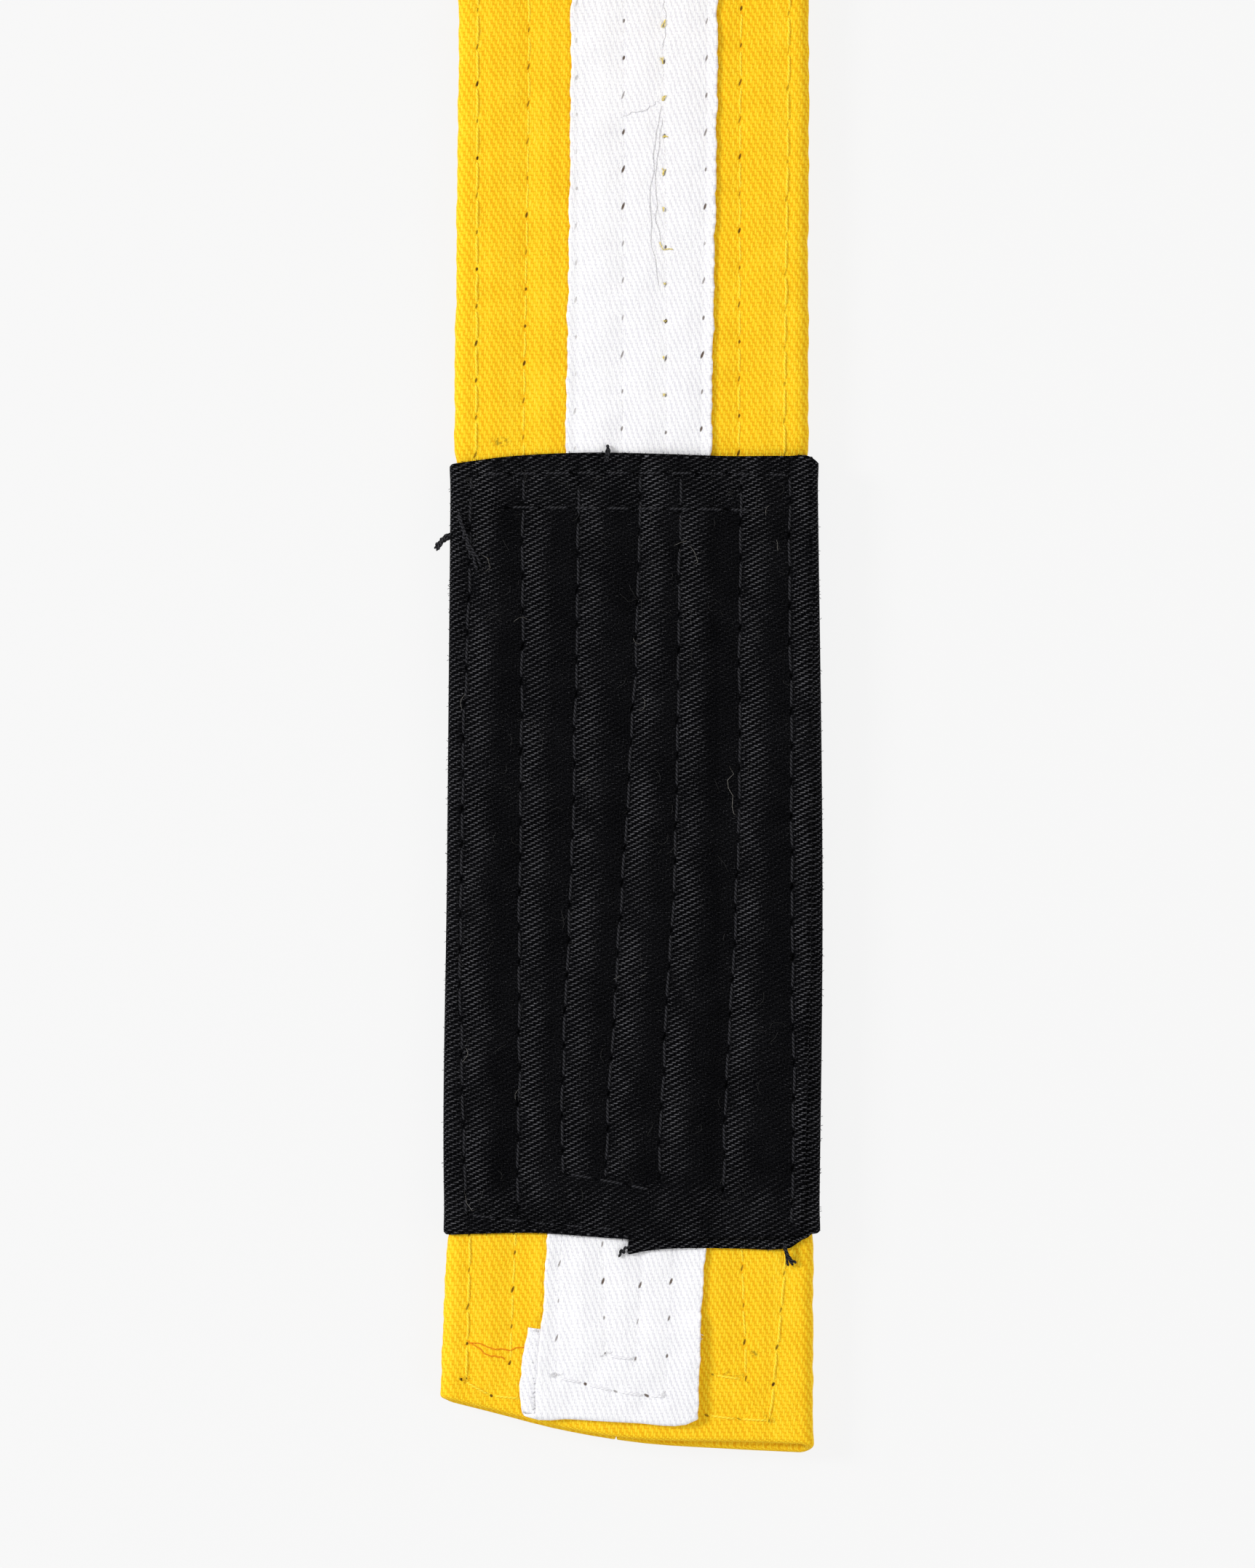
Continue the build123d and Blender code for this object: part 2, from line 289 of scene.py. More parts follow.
def ribbon(name, middle, thickness, attributes, material):
    """Cloth of a thickness in mm about a grid of points on its middle surface, (rows, columns, 3).

    Its two long edges are rounded. Columns run so that row direction x column direction is the
    inner side. Attributes of shape (rows, columns, 3) are given to both faces.
    """
    rows, columns = middle.shape[:2]
    end_gaps = [np.linalg.norm(middle[a] - middle[b], axis=-1).mean() for a, b in ((0, 1), (-1, -2))]
    shares = [END_ROW / gap for gap in end_gaps]
    thickness = with_end_rows(np.broadcast_to(np.asarray(thickness, float), (rows, columns)), shares)
    attributes = {key: with_end_rows(np.asarray(grid, float), shares) for key, grid in attributes.items()}
    middle = with_end_rows(middle, shares)
    rows += 2
    along = unit(np.gradient(middle, axis=0))
    sideways = unit(np.gradient(middle, axis=1))
    outward = unit(np.cross(sideways, along))
    half = thickness[..., None] / 2
    top = middle + outward * half
    bottom = (middle - outward * half)[:, ::-1]

    def rounding(column, sign):
        edge, way = middle[:, column], sign * sideways[:, column] * half[:, column]
        out = outward[:, column] * half[:, column]
        return np.stack([edge + way * math.cos(a) + out * math.sin(a) for a in EDGE_ANGLES], axis=1)

    right = rounding(-1, 1)
    left = rounding(0, -1)[:, ::-1]
    loops = np.concatenate([top, right, bottom, left], axis=1)
    around = loops.shape[1]
    index = np.arange(rows * around).reshape(rows, around)
    following = np.roll(index, -1, axis=1)
    quads = np.stack([index[:-1], following[:-1], following[1:], index[1:]], axis=-1).reshape(-1, 4)
    faces = [tuple(quad) for quad in quads.tolist()]
    bends = len(EDGE_ANGLES)
    for row, flip in ((index[0], False), (index[-1], True)):
        upper = row[:columns]
        lower = row[columns + bends : 2 * columns + bends][::-1]
        caps = [(upper[k], lower[k], lower[k + 1], upper[k + 1]) for k in range(columns - 1)]
        caps.append((upper[-1], lower[-1], *row[columns : columns + bends][::-1]))
        caps.append((lower[0], upper[0], *row[2 * columns + bends :][::-1]))
        faces += [tuple(int(v) for v in (face[::-1] if flip else face)) for face in caps]
    marks = {}
    for key, values in attributes.items():
        values = np.broadcast_to(np.asarray(values, float), (rows, columns, 3))
        last, first = np.repeat(values[:, -1:], bends, 1), np.repeat(values[:, :1], bends, 1)
        marks[key] = np.concatenate([values, last, values[:, ::-1], first], axis=1)
    return new_piece(name, loops.reshape(-1, 3), faces, marks, material, len(faces) - len(quads))


def spread(u, lines, near, widest):
    """Places across, shape (len(u), places): close beside each line and wider apart between."""
    places = [lines[0](u)]
    for left, right in zip(lines, lines[1:]):
        a, b = left(u), right(u)
        gap = float(np.min(b - a))
        if gap > 2 * near[-1] + 0.4:
            middle = max(1, int(round((gap - 2 * near[-1]) / widest)))
            places += [a + n for n in near]
            room = b - a - 2 * near[-1]
            places += [a + near[-1] + room * k / middle for k in range(1, middle)]
            places += [b - n for n in reversed(near)]
        else:
            pieces = max(2, int(round(gap / near[0] / 2)))
            places += [a + (b - a) * k / pieces for k in range(1, pieces)]
        places.append(b)
    return np.stack(places, axis=1)


TWIST = 6.0


def cord_mesh(name, paths, radius, sides, material):
    """Threads: a thin tube along each path of points in mm, with rounded-off ends, for twisted plies."""
    verts, faces, marks = [], [], []
    for number, path in enumerate(paths):
        path = np.asarray(path, float)
        tangent = np.gradient(path, axis=0)
        tangent /= np.linalg.norm(tangent, axis=1)[:, None] + TINY
        helper = np.where(np.abs(tangent[:, 2:3]) < 0.8, [[0.0, 0.0, 1.0]], [[1.0, 0.0, 0.0]])
        side = np.cross(tangent, helper)
        side /= np.linalg.norm(side, axis=1)[:, None] + TINY
        up = np.cross(side, tangent)
        length = np.concatenate([[0], np.cumsum(np.linalg.norm(np.diff(path, axis=0), axis=1))])
        end = np.minimum(length, length[-1] - length)
        r = radius * np.sqrt(np.clip(end / (1.2 * radius), 0.02, 1))
        angle = np.arange(sides) / sides * math.tau - math.pi / 2
        ring = r[:, None]
        out = side[:, None, :] * (ring * np.cos(angle))[..., None]
        points = path[:, None, :] + out + up[:, None, :] * (ring * np.sin(angle))[..., None]
        base = sum(len(v) for v in verts)
        index = base + np.arange(len(path) * sides).reshape(len(path), sides)
        following = np.roll(index, -1, axis=1)
        quads = np.stack([index[:-1], index[1:], following[1:], following[:-1]], axis=-1).reshape(-1, 4)
        faces += [tuple(q) for q in [*quads.tolist(), index[0].tolist(), index[-1][::-1].tolist()]]
        verts.append(points.reshape(-1, 3))
        mark = np.zeros((len(path), sides, 3))
        mark[..., 0] = length[:, None]
        mark[..., 1] = angle[None, :] - length[:, None] * TWIST
        mark[..., 2] = number
        marks.append(mark.reshape(-1, 3))
    return new_piece(name, np.concatenate(verts), faces, {"thread": np.concatenate(marks)}, material)


# ------------------------------------------------------------------ shader maths


class Value:
    """One number in a material's nodes, so that its maths reads as Python."""

    def __init__(self, paint, socket):
        self.paint, self.socket = paint, socket

    def math(self, operation, *others, turned=False):
        terms = (self, *others)
        node = self.paint.node("ShaderNodeMath", {"operation": operation})
        for slot, term in zip(node.inputs, terms[::-1] if turned else terms):
            self.paint.plug(slot, term)
        return Value(self.paint, node.outputs[0])

    def __add__(self, other):
        return self.math("ADD", other)

    def __mul__(self, other):
        return self.math("MULTIPLY", other)

    def __sub__(self, other):
        return self.math("SUBTRACT", other)

    def __rsub__(self, other):
        return self.math("SUBTRACT", other, turned=True)

    def __truediv__(self, other):
        return self.math("DIVIDE", other)

    def __abs__(self):
        return self.math("ABSOLUTE")

    __radd__ = __add__
    __rmul__ = __mul__

    def floor(self):
        return self.math("FLOOR")

    def fract(self):
        return self.math("FRACT")

    def sin(self):
        return self.math("SINE")

    def squared(self):
        return self * self

    def least(self, other):
        return self.math("MINIMUM", other)

    def most(self, other):
        return self.math("MAXIMUM", other)

    def clear(self):
        return self.most(0.0).least(1.0)

    def ramp(self, start, end):
        """0 at start and 1 at end, smooth between."""
        t = ((self - start) / (end - start)).clear()
        return t * t * (3 - 2 * t)


class Paint:
    """A material under construction, and the ways to add nodes to it."""

    def __init__(self, name, roughness, gloss):
        self.material = bpy.data.materials.new(name)
        self.material.use_nodes = True
        self.tree = self.material.node_tree
        self.surface = next(n for n in self.tree.nodes if n.type == "BSDF_PRINCIPLED")
        self.surface.inputs["Roughness"].default_value = roughness
        self.surface.inputs["Specular IOR Level"].default_value = gloss

    def plug(self, slot, term):
        if isinstance(term, Value):
            term = term.socket
        if isinstance(term, bpy.types.NodeSocket):
            self.tree.links.new(term, slot)
        else:
            slot.default_value = term

    def node(self, kind, settings, **inputs):
        made = self.tree.nodes.new(kind)
        for key, value in settings.items():
            setattr(made, key, value)
        for key, term in inputs.items():
            self.plug(made.inputs[key.replace("_", " ")], term)
        return made

    def vector(self, name):
        """The three numbers of a named vector on the mesh."""
        attribute = self.node("ShaderNodeAttribute", {"attribute_name": name})
        split = self.node("ShaderNodeSeparateXYZ", {}, Vector=attribute.outputs["Vector"])
        return [Value(self, output) for output in split.outputs]

    def together(self, x, y, z=0.0):
        return self.node("ShaderNodeCombineXYZ", {}, X=x, Y=y, Z=z).outputs[0]

    def noise(self, place, scale, detail=2.0, roughness=0.5):
        """Smooth noise about 0.5 at a place in mm."""
        made = self.node(
            "ShaderNodeTexNoise", {}, Vector=place, Scale=scale, Detail=detail, Roughness=roughness
        )
        return Value(self, made.outputs["Fac"])

    def chance(self, place):
        """A random number from 0 to 1 for each whole-numbered place."""
        made = self.node("ShaderNodeTexWhiteNoise", {}, Vector=place)
        return Value(self, made.outputs["Value"])

    def mix(self, amount, a, b):
        """Colour a, or b where amount is 1."""
        made = self.node("ShaderNodeMix", {"data_type": "RGBA"})
        colour_a, colour_b = [slot for slot in made.inputs if slot.type == "RGBA"]
        for slot, term in ((made.inputs[0], amount), (colour_a, a), (colour_b, b)):
            self.plug(slot, term)
        return next(output for output in made.outputs if output.type == "RGBA")

    def finish(self, colour, height=None, depth=0.05):
        self.plug(self.surface.inputs["Base Color"], colour)
        if height is not None:
            bump = self.node("ShaderNodeBump", {}, Strength=1.0, Distance=depth * MM, Height=height)
            self.plug(self.surface.inputs["Normal"], bump.outputs["Normal"])
        return self.material


def rgb(red, green, blue):
    """A colour given as 0 to 255 on a screen, as a shader takes it."""
    channels = [c / 255 for c in (red, green, blue)]
    return (*[c / 12.92 if c <= 0.04045 else ((c + 0.055) / 1.055) ** 2.4 for c in channels], 1.0)


def twill(across, along, end_pitch, pick_pitch, over, repeat, lean):
    """Height of twill cloth from 0 to 1: warp ends that float over some picks in each repeat."""
    end = (across / end_pitch).floor()
    off = (across / end_pitch).fract() - 0.5
    float_phase = ((along / pick_pitch + end * lean) / repeat).fract()
    middle = over / repeat / 2
    float_height = (1 - ((float_phase - middle) / middle).squared().squared()).most(0.0)
    pick_off = (along / pick_pitch).fract() - 0.5
    under = (1 - 4 * pick_off.squared()) * 0.25
    body = 1 - 2.4 * off.squared()
    return (body * float_height).most(under), end


def cloth_paint(
    name, colours, weave, hole, gloss=0.12, mottle=0.35, depth=0.07, wear_and_highlight=False, stains=(),
    levels=(0.05, 0.42, 1.0),
):
    """Woven cloth: painted groove shade, yarn and painted highlight colours, twill relief, and needle
    holes painted dark with shade along its rows.

    weave is (cloth turned or not, end pitch, pick pitch, picks floated over, repeat, lean).
    """
    paint = Paint(name, roughness=0.85, gloss=gloss)
    x, y, side = paint.vector("cloth")
    place = paint.together(x, y, side)
    wobble = (paint.noise(place, 0.5, 2.0) - 0.5) * 0.35
    fine_wobble = (paint.noise(place, 2.4, 1.0) - 0.5) * 0.10
    turned, end_pitch, pick_pitch, over, repeat, lean = weave
    across, along = (y, x) if turned else (x, y)
    height, end = twill(
        across + wobble + fine_wobble, along + wobble * 1.5, end_pitch, pick_pitch, over, repeat, lean
    )
    grain = paint.noise(place, 6.0, 3.0, 0.7)
    end_tone = paint.chance(paint.together(end, 0.0, side))
    blotch = paint.noise(place, 0.18, 3.0, 0.6)
    # The twill's height paints shade in the grooves and a highlight on the floats; grain, end tone and
    # blotches are the yarn's own tone.
    lit = height * 0.62 + (grain - 0.45) * 1.15 + (end_tone - 0.5) * 0.18 + (blotch - 0.5) * mottle
    low, middle, high = levels
    relief = height * 0.8 + grain * 0.45
    away, phase, off = paint.vector("rows")
    if wear_and_highlight:
        # Ribs painted paler where the cloth is rubbed pale and where it takes a painted highlight on the
        # puffs.
        pale_and_lit = paint.vector("wear_and_highlight")[0]
        ribs = height.squared() * pale_and_lit * 0.8 - pale_and_lit * 0.14
        lit = ribs + (grain - 0.42) * 1.8 + (blotch - 0.5) * 0.25 + 0.09
    colour = paint.mix(lit.ramp(low, middle), colours[0], colours[1])
    colour = paint.mix(lit.ramp(middle, high), colour, colours[2])
    for stain_x, stain_y, wide, long, strength, stain_colour in stains:
        spot = (((x - stain_x) / wide).squared() + ((y - stain_y) / long).squared()).ramp(1.0, 0.0)
        speckle = (paint.noise(place, 2.2, 3.0, 0.7)).ramp(0.42, 0.62)
        colour = paint.mix(spot * speckle * strength, colour, stain_colour)
    # Needle holes painted dark: painted shade in each hole.
    stitch = (phase + 0.5).floor()
    luck = paint.chance(paint.together(stitch, 1.0))
    lean_luck = paint.chance(paint.together(stitch, 2.0))
    from_hole = (phase - stitch) * hole["stitch"]
    sideways = off - from_hole * (0.1 + lean_luck * 0.3) + (lean_luck - 0.5) * 0.1
    radius = (
        (sideways / (hole["width"] * (0.7 + 0.6 * luck))).squared()
        + (from_hole / (hole["length"] * (0.6 + 0.75 * lean_luck))).squared()
    )
    near_row = 1 - away.ramp(0.5, 0.8)
    row_number = ((phase + 1) / ROW_MARK).floor()
    # Rows 3 and 8 show fainter painted hole shade past the tip, and the belt's outermost rows no painted
    # shade in the groove
    faint = 1 - 0.6 * (1 - abs(abs(row_number - 5.5) - 2.5).ramp(0.2, 0.4)) * y.ramp(30.0, 40.0)
    hole_shade = (1 - (radius + (grain - 0.5) * 0.8).ramp(0.3, 1.5)) * near_row * (0.45 + 0.55 * luck) * faint
    sunk = 1 - abs(row_number - 4.5).ramp(2.6, 3.4) if hole["stitch"] == STITCH else 1.0
    # Painted shade along each row's groove, between the holes.
    seam = (1 - (away + (grain - 0.5) * 0.2).ramp(0.05, hole["slit"])) * hole["slit_shade_strength"] * sunk
    colour = paint.mix(seam, colour, hole["slit_shade_colour"])
    colour = paint.mix(hole_shade, colour, hole["colour"])
    relief = relief * (1 - seam) - hole_shade * 2.0
    return paint.finish(colour, relief, depth)


# ------------------------------------------------------------------ materials

YELLOW_TWILL = (False, 0.29, 0.51, 2.0, 3.0, 1.0)
WHITE_TWILL = (False, 0.175, 0.46, 3.0, 4.0, 1.0)
BLACK_TWILL = (True, 0.24, 0.45, 2.0, 3.0, -1.0)
SMUDGE = rgb(120, 104, 20)

# Colours: painted groove shade, yarn, painted highlight; the hole and slit colours are painted shade in
# the needle holes and along the rows.
yellow_cloth = cloth_paint(
    "yellow cotton twill",
    (rgb(232, 170, 14), rgb(250, 204, 32), rgb(255, 221, 60)),
    YELLOW_TWILL,
    {
        "stitch": STITCH, "width": 0.15, "length": 0.34, "colour": rgb(78, 42, 10),
        "slit": 0.28, "slit_shade_strength": 0.4, "slit_shade_colour": rgb(236, 164, 12),
    },
    stains=((-17.1, 129.6, 1.7, 0.9, 0.7, SMUDGE), (15.6, 12.7, 0.8, 0.6, 0.7, SMUDGE)),
)
white_cloth = cloth_paint(
    "white cotton tape",
    (rgb(219, 218, 224), rgb(244, 244, 246), rgb(252, 252, 253)),
    WHITE_TWILL,
    {
        "stitch": STITCH, "width": 0.16, "length": 0.38, "colour": rgb(86, 68, 54),
        "slit": 0.3, "slit_shade_strength": 0.04, "slit_shade_colour": rgb(212, 208, 214),
    },
    mottle=0.2,
    depth=0.05,
)
black_cloth = cloth_paint(
    "black cotton twill",
    (rgb(2, 2, 3), rgb(20, 20, 22), rgb(100, 100, 104)),
    BLACK_TWILL,
    {
        "stitch": BAR_STITCH, "width": 0.18, "length": 0.4, "colour": rgb(1, 1, 2),
        "slit": 0.3, "slit_shade_strength": 0.4, "slit_shade_colour": rgb(6, 6, 8),
    },
    gloss=0.005,
    depth=0.12,
    wear_and_highlight=True,
    levels=(0.05, 0.45, 1.05),
)


def thread_paint(name, dark, light, roughness=0.6, gloss=0.15):
    """Two-ply sewing thread: painted shade in the groove between its plies and painted highlight on their
    crests.
    """
    paint = Paint(name, roughness=roughness, gloss=gloss)
    along, turn, number = paint.vector("thread")
    ply = ((turn * 2).sin() * 0.5 + 0.5).clear()
    grain = paint.noise(paint.together(along, turn, number), 3.0, 2.0)
    colour = paint.mix((ply * 0.7 + (grain - 0.4) * 0.6).clear(), dark, light)
    return paint.finish(colour, ply + grain * 0.5, 0.05)


yellow_thread = thread_paint("yellow thread", rgb(252, 206, 30), rgb(255, 232, 76))
pale_yellow_thread = thread_paint("pale yellow thread", rgb(246, 214, 90), rgb(255, 240, 150))
orange_thread = thread_paint("orange thread", rgb(226, 128, 10), rgb(250, 166, 24))
white_thread = thread_paint("white thread", rgb(228, 227, 232), rgb(252, 252, 253))
black_thread = thread_paint("black thread", rgb(3, 3, 4), rgb(64, 64, 68), 0.6, 0.03)
lint_paint = thread_paint("pale lint", rgb(96, 94, 90), rgb(176, 172, 166))
grey_lint = thread_paint("grey lint", rgb(36, 36, 38), rgb(80, 79, 78))
core_cotton = thread_paint("core cotton", rgb(214, 206, 190), rgb(238, 232, 220))


# ------------------------------------------------------------------ the belt's surfaces


class Seam:
    """A short run of stitches near the tip, through points given along and across the belt."""

    def __init__(self, number, *points):
        self.number = number
        self.points = np.array([(across, along) for along, across in points], float)
        gaps = np.linalg.norm(np.diff(self.points, axis=0), axis=1)
        self.start = np.concatenate([[0], np.cumsum(gaps)])

    def near(self, x, u):
        away = np.full(np.shape(x), 99.0)
        off = np.zeros(np.shape(x))
        run = np.zeros(np.shape(x))
        for a, b, start in zip(self.points, self.points[1:], self.start):
            length = np.linalg.norm(b - a)
            way = (b - a) / length
            t = np.clip((x - a[0]) * way[0] + (u - a[1]) * way[1], 0, length)
            dx, du = x - a[0] - t * way[0], u - a[1] - t * way[1]
            distance = np.hypot(dx, du)
            nearer = distance < away
            away = np.where(nearer, distance, away)
            off = np.where(nearer, dx * way[1] - du * way[0], off)
            run = np.where(nearer, start + t, run)
        return away, run / SEAM_STITCH, off

    def path(self, spacing):
        run = np.arange(0, self.start[-1] + spacing / 2, spacing).clip(0, self.start[-1])
        return (
            np.interp(run, self.start, self.points[:, 0]),
            np.interp(run, self.start, self.points[:, 1]),
            run / SEAM_STITCH,
        )


SEAM_STITCH = 4.0
YELLOW_SEAMS = [
    Seam(11, (9.2, -21.7), (7.3, -18.2), (6.8, -13.2)),
    Seam(12, (4.1, 17.6), (4.3, 13.4), (4.8, 9.2)),
    Seam(13, (9.4, 14.2), (9.7, 12.0), (10.1, 9.2)),
]
WHITE_SEAMS = [
    Seam(14, (9.7, -10.0), (9.1, -6.9), (8.0, -2.7), (7.4, 1.1), (7.2, 4.2)),
    Seam(15, (12.5, -3.6), (12.2, -1.6), (12.0, 0.3)),
]


FAR = 9.0


def row_near(row, x, u):
    off = x - row.line(u)
    return np.abs(off) + FAR * (u < row.end - 0.3), row.phase(u), off


def stitching(x, u, rows, seams=()):
    """For shaders: distance to the nearest row, stitches along it, and the signed distance."""
    best = np.full(np.shape(x), FAR)
    phase, off = np.zeros(np.shape(x)), np.full(np.shape(x), FAR)
    for line in [*rows, *seams]:
        away, count, side = line.near(x, u) if isinstance(line, Seam) else row_near(line, x, u)
        nearer = away < best
        best = np.where(nearer, away, best)
        phase = np.where(nearer, count + ROW_MARK * line.number, phase)
        off = np.where(nearer, side, off)
    return np.stack([best, phase, off], axis=-1)


def valley(away):
    """A sharp pinch in a wide shallow dip, by the distance from the row."""
    return 0.28 * np.exp(-away / 0.4) + 0.72 * np.exp(-((away / 2.1) ** 2))


def grip(count):
    """How hard a row holds the cloth down: hardest at each needle hole."""
    return 0.8 + 0.2 * np.cos(count * math.tau)


def pull(x, u, rows, seams=()):
    """How far the stitches pull the cloth in, from 0 to 1."""
    total = np.zeros(np.shape(x))
    for row in rows:
        away = np.abs(x - row.line(u))
        live = step((u - row.end + 1.2) / 1.5)
        total = np.maximum(total, live * grip(row.phase(u)) * valley(away))
    for seam in seams:
        away, count, side = seam.near(x, u)
        total = np.maximum(total, grip(count) * valley(away))
    return total


# Rank bar: its edges and its rows
bar_left = line_through((27, -24.15), (35, -24.3), (74, -23.9), (127, -23.4))
bar_right = line_through((27, 23.9), (68, 24.35), (127, 23.7))
bar_wrap_edge = line_through((27, 21.8), (40, 22.1), (56, 22.6), (79, 22.9), (127, 23.0))


class BarRow:
    """A long row of the rank bar, which strays a little from stitch to stitch."""

    def __init__(self, number, start, *points):
        self.number, self.end = number, start
        self.course = line_through(*points)

    def line(self, u):
        return self.course(u) + wander(u, self.number, 0.09, 7, 40)

    def phase(self, u):
        return (np.asarray(u, float) - bar_from) / BAR_STITCH + 0.37 * self.number


BAR_ROWS = [
    BarRow(21, 30.5, (30, -21.3), (40, -21.7), (83, -21.9), (111, -21.0), (128, -20.7)),
    BarRow(22, 31.0, (30, -14.8), (40, -14.7), (83, -14.4), (111, -14.1), (128, -14.0)),
    BarRow(23, 35.8, (30, -8.8), (40, -9.0), (83, -7.6), (111, -7.1), (128, -6.8)),
    BarRow(24, 35.4, (30, -3.6), (40, -3.3), (83, -0.7), (111, 0.7), (128, 1.0)),
    BarRow(25, 35.0, (30, 3.2), (40, 3.5), (83, 5.6), (111, 5.9), (128, 6.2)),
    BarRow(26, 32.7, (30, 11.3), (40, 11.7), (83, 13.6), (111, 13.7), (128, 13.8)),
    BarRow(27, 26.0, (26, 20.4), (40, 20.5), (83, 20.3), (111, 20.1), (128, 20.0)),
]
BAR_SEAMS = [
    Seam(31, (125.4, -19.8), (125.6, -6.0), (125.5, 7.0), (125.3, 20.0)),
    Seam(32, (121.2, -16.0), (121.0, 0.0), (120.8, 15.0)),
    Seam(33, (30.5, -21.2), (29.4, -12.0), (28.5, -0.3)),
    Seam(34, (35.8, -8.6), (34.8, -3.0), (33.8, 2.1)),
]


def bar_zone(u):
    return step((u - bar_from + 1.5) / 3) * step((bar_to + 1.5 - u) / 3)


def swell(x, u, seed, size):
    """Soft unevenness of cloth that has been handled."""
    return wander(u + 1.7 * x, seed, size * 0.6, 9, 40) + wander(u - 1.3 * x, seed + 1, size * 0.6, 7, 30)


# How much the tip and the rank bar thin the belt, and how deep the rows sink into it
TIP_THINS, BAR_THINS, BACK_THINS, TIP_FLAT = 0.45, 0.2, 0.4, 10
ROWS_SINK, BAR_ROWS_SINK, BACK_ROWS_SINK = 0.3, 0.5, 0.22
PUFF = 0.06


def front_base(x, u):
    """Height of the cover's front face."""
    thinner = TIP_THINS * (1 - step(u / TIP_FLAT)) + BAR_THINS * bar_zone(u)
    rows = pull(x, u, ROWS, YELLOW_SEAMS + WHITE_SEAMS) * ROWS_SINK * (1 - bar_zone(u))
    near_bar = np.min(u) < bar_to + 2
    bar_rows = pull(x, u, BAR_ROWS, BAR_SEAMS) * BAR_ROWS_SINK * bar_zone(u) if near_bar else 0.0
    return cover_top + PUFF - thinner - rows - bar_rows + swell(x, u, 3, 0.07)


def back_base(x, u):
    """Height of the cover's back face."""
    thinner = BACK_THINS * (1 - step(u / TIP_FLAT))
    return cover_floor + thinner + pull(x, u, ROWS) * BACK_ROWS_SINK - swell(x, u, 9, 0.03)


def belt_left(u):
    return left_edge(u) + 0.42 * bar_zone(u) + wander(u, 21, 0.07, 2.5, 25)


def belt_right(u):
    return right_edge(u) - 0.30 * bar_zone(u) + wander(u, 22, 0.07, 2.5, 25)


def tape_side(line, row, sign, seed):
    """An edge of the tape: drawn in a little at each stitch of the row beside it."""

    def place(u):
        return line(u) - sign * 0.05 * np.cos(row.phase(u) * math.tau) + wander(u, seed, 0.09, 1.6, 14)

    return place


tape_from = tape_side(tape_left, ROWS[2], -1, 31)
tape_to = tape_side(tape_right, ROWS[5], 1, 32)


def tape_cover(x, u):
    """1 under the tape and 0 beside it."""
    return step((x - tape_left(u) + 0.5) / 0.7) * step((tape_right(u) + 0.5 - x) / 0.7)


def front_top(x, u):
    """Height of whatever faces up on the belt's front: cover or tape."""
    return front_base(x, u) + (TAPE_CLOTH + TAPE_GAP) * tape_cover(x, u)


# ------------------------------------------------------------------ cover

EDGE_RUN = 1.7
SLANT_FADES = 30.0
HEM_TURN = FOLD_RADIUS - COVER_CLOTH / 2
TURN_ROWS = 11
HIDDEN = 5.0


def sheet_rows(from_u, to_u, spacing, tucked=None, turn=0.0):
    """Rows along a sheet: where they lie, how far each is turned under, and how far it is past the fold.

    A hemmed sheet starts with its tucked rows, and bends over at the turn's radius.
    """
    if tucked is None:
        run = np.append(np.arange(from_u, to_u - spacing / 4, spacing), to_u)
        return run, np.zeros(len(run)), run
    arc = np.radians(np.linspace(-90, 90, TURN_ROWS))
    flat = np.append(np.arange(0.3, to_u - turn - spacing / 3, spacing), to_u - turn)
    run = np.concatenate([tucked + turn, turn * (1 - np.cos(arc)), flat + turn])
    under = np.concatenate([np.ones(len(tucked)), (1 - np.sin(arc)) / 2, np.zeros(len(flat))])
    return run, under, np.concatenate([tucked, np.zeros(TURN_ROWS), flat])


def near_columns(fine):
    return ((0.13, 0.28, 0.5, 0.85), 0.75) if fine else ((0.2, 0.7), 1.9)


def inner_left(u):
    return belt_left(u) + EDGE_RUN


def inner_right(u):
    return belt_right(u) - EDGE_RUN


def beside_seam(gap):
    """A line beside the seam on the cover's back."""

    def line(u):
        return (tape_left(u) + tape_right(u)) / 2 + gap

    return line


def cover_section(u, fine):
    """Places across the cover: its front, and its back on either side of the seam."""
    near, widest = near_columns(fine)
    row_1, row_2, row_7, row_8 = [row.line for row in YELLOW_ROWS]
    front = spread(
        u, [inner_left, row_1, row_2, tape_left, tape_right, row_7, row_8, inner_right], near, widest
    )
    back_left = spread(u, [inner_left, row_1, row_2, beside_seam(-0.3)], (0.4,), 2.4)
    back_right = spread(u, [beside_seam(0.3), row_7, row_8, inner_right], (0.4,), 2.4)
    return front, back_left[:, ::-1], back_right[:, ::-1]


def round_edge(x_flat, x_edge, low, high, falling, steps):
    """Points round a stuffed edge, from face to face."""
    angles = np.linspace(-math.pi / 2, math.pi / 2, steps + 2)[1:-1]
    if falling:
        angles = angles[::-1]
    power = 2 / 2.5
    reach = np.cos(angles) ** power
    rise = np.sign(np.sin(angles)) * np.abs(np.sin(angles)) ** power
    x = x_flat[:, None] + (x_edge - x_flat)[:, None] * reach
    w = ((low + high) / 2)[:, None] + ((high - low) / 2)[:, None] * rise
    return x, w


def front_lag(x):
    """How far the front fold stops short of the back one."""
    return 0.45 + 0.75 * step((x + 6) / 26)


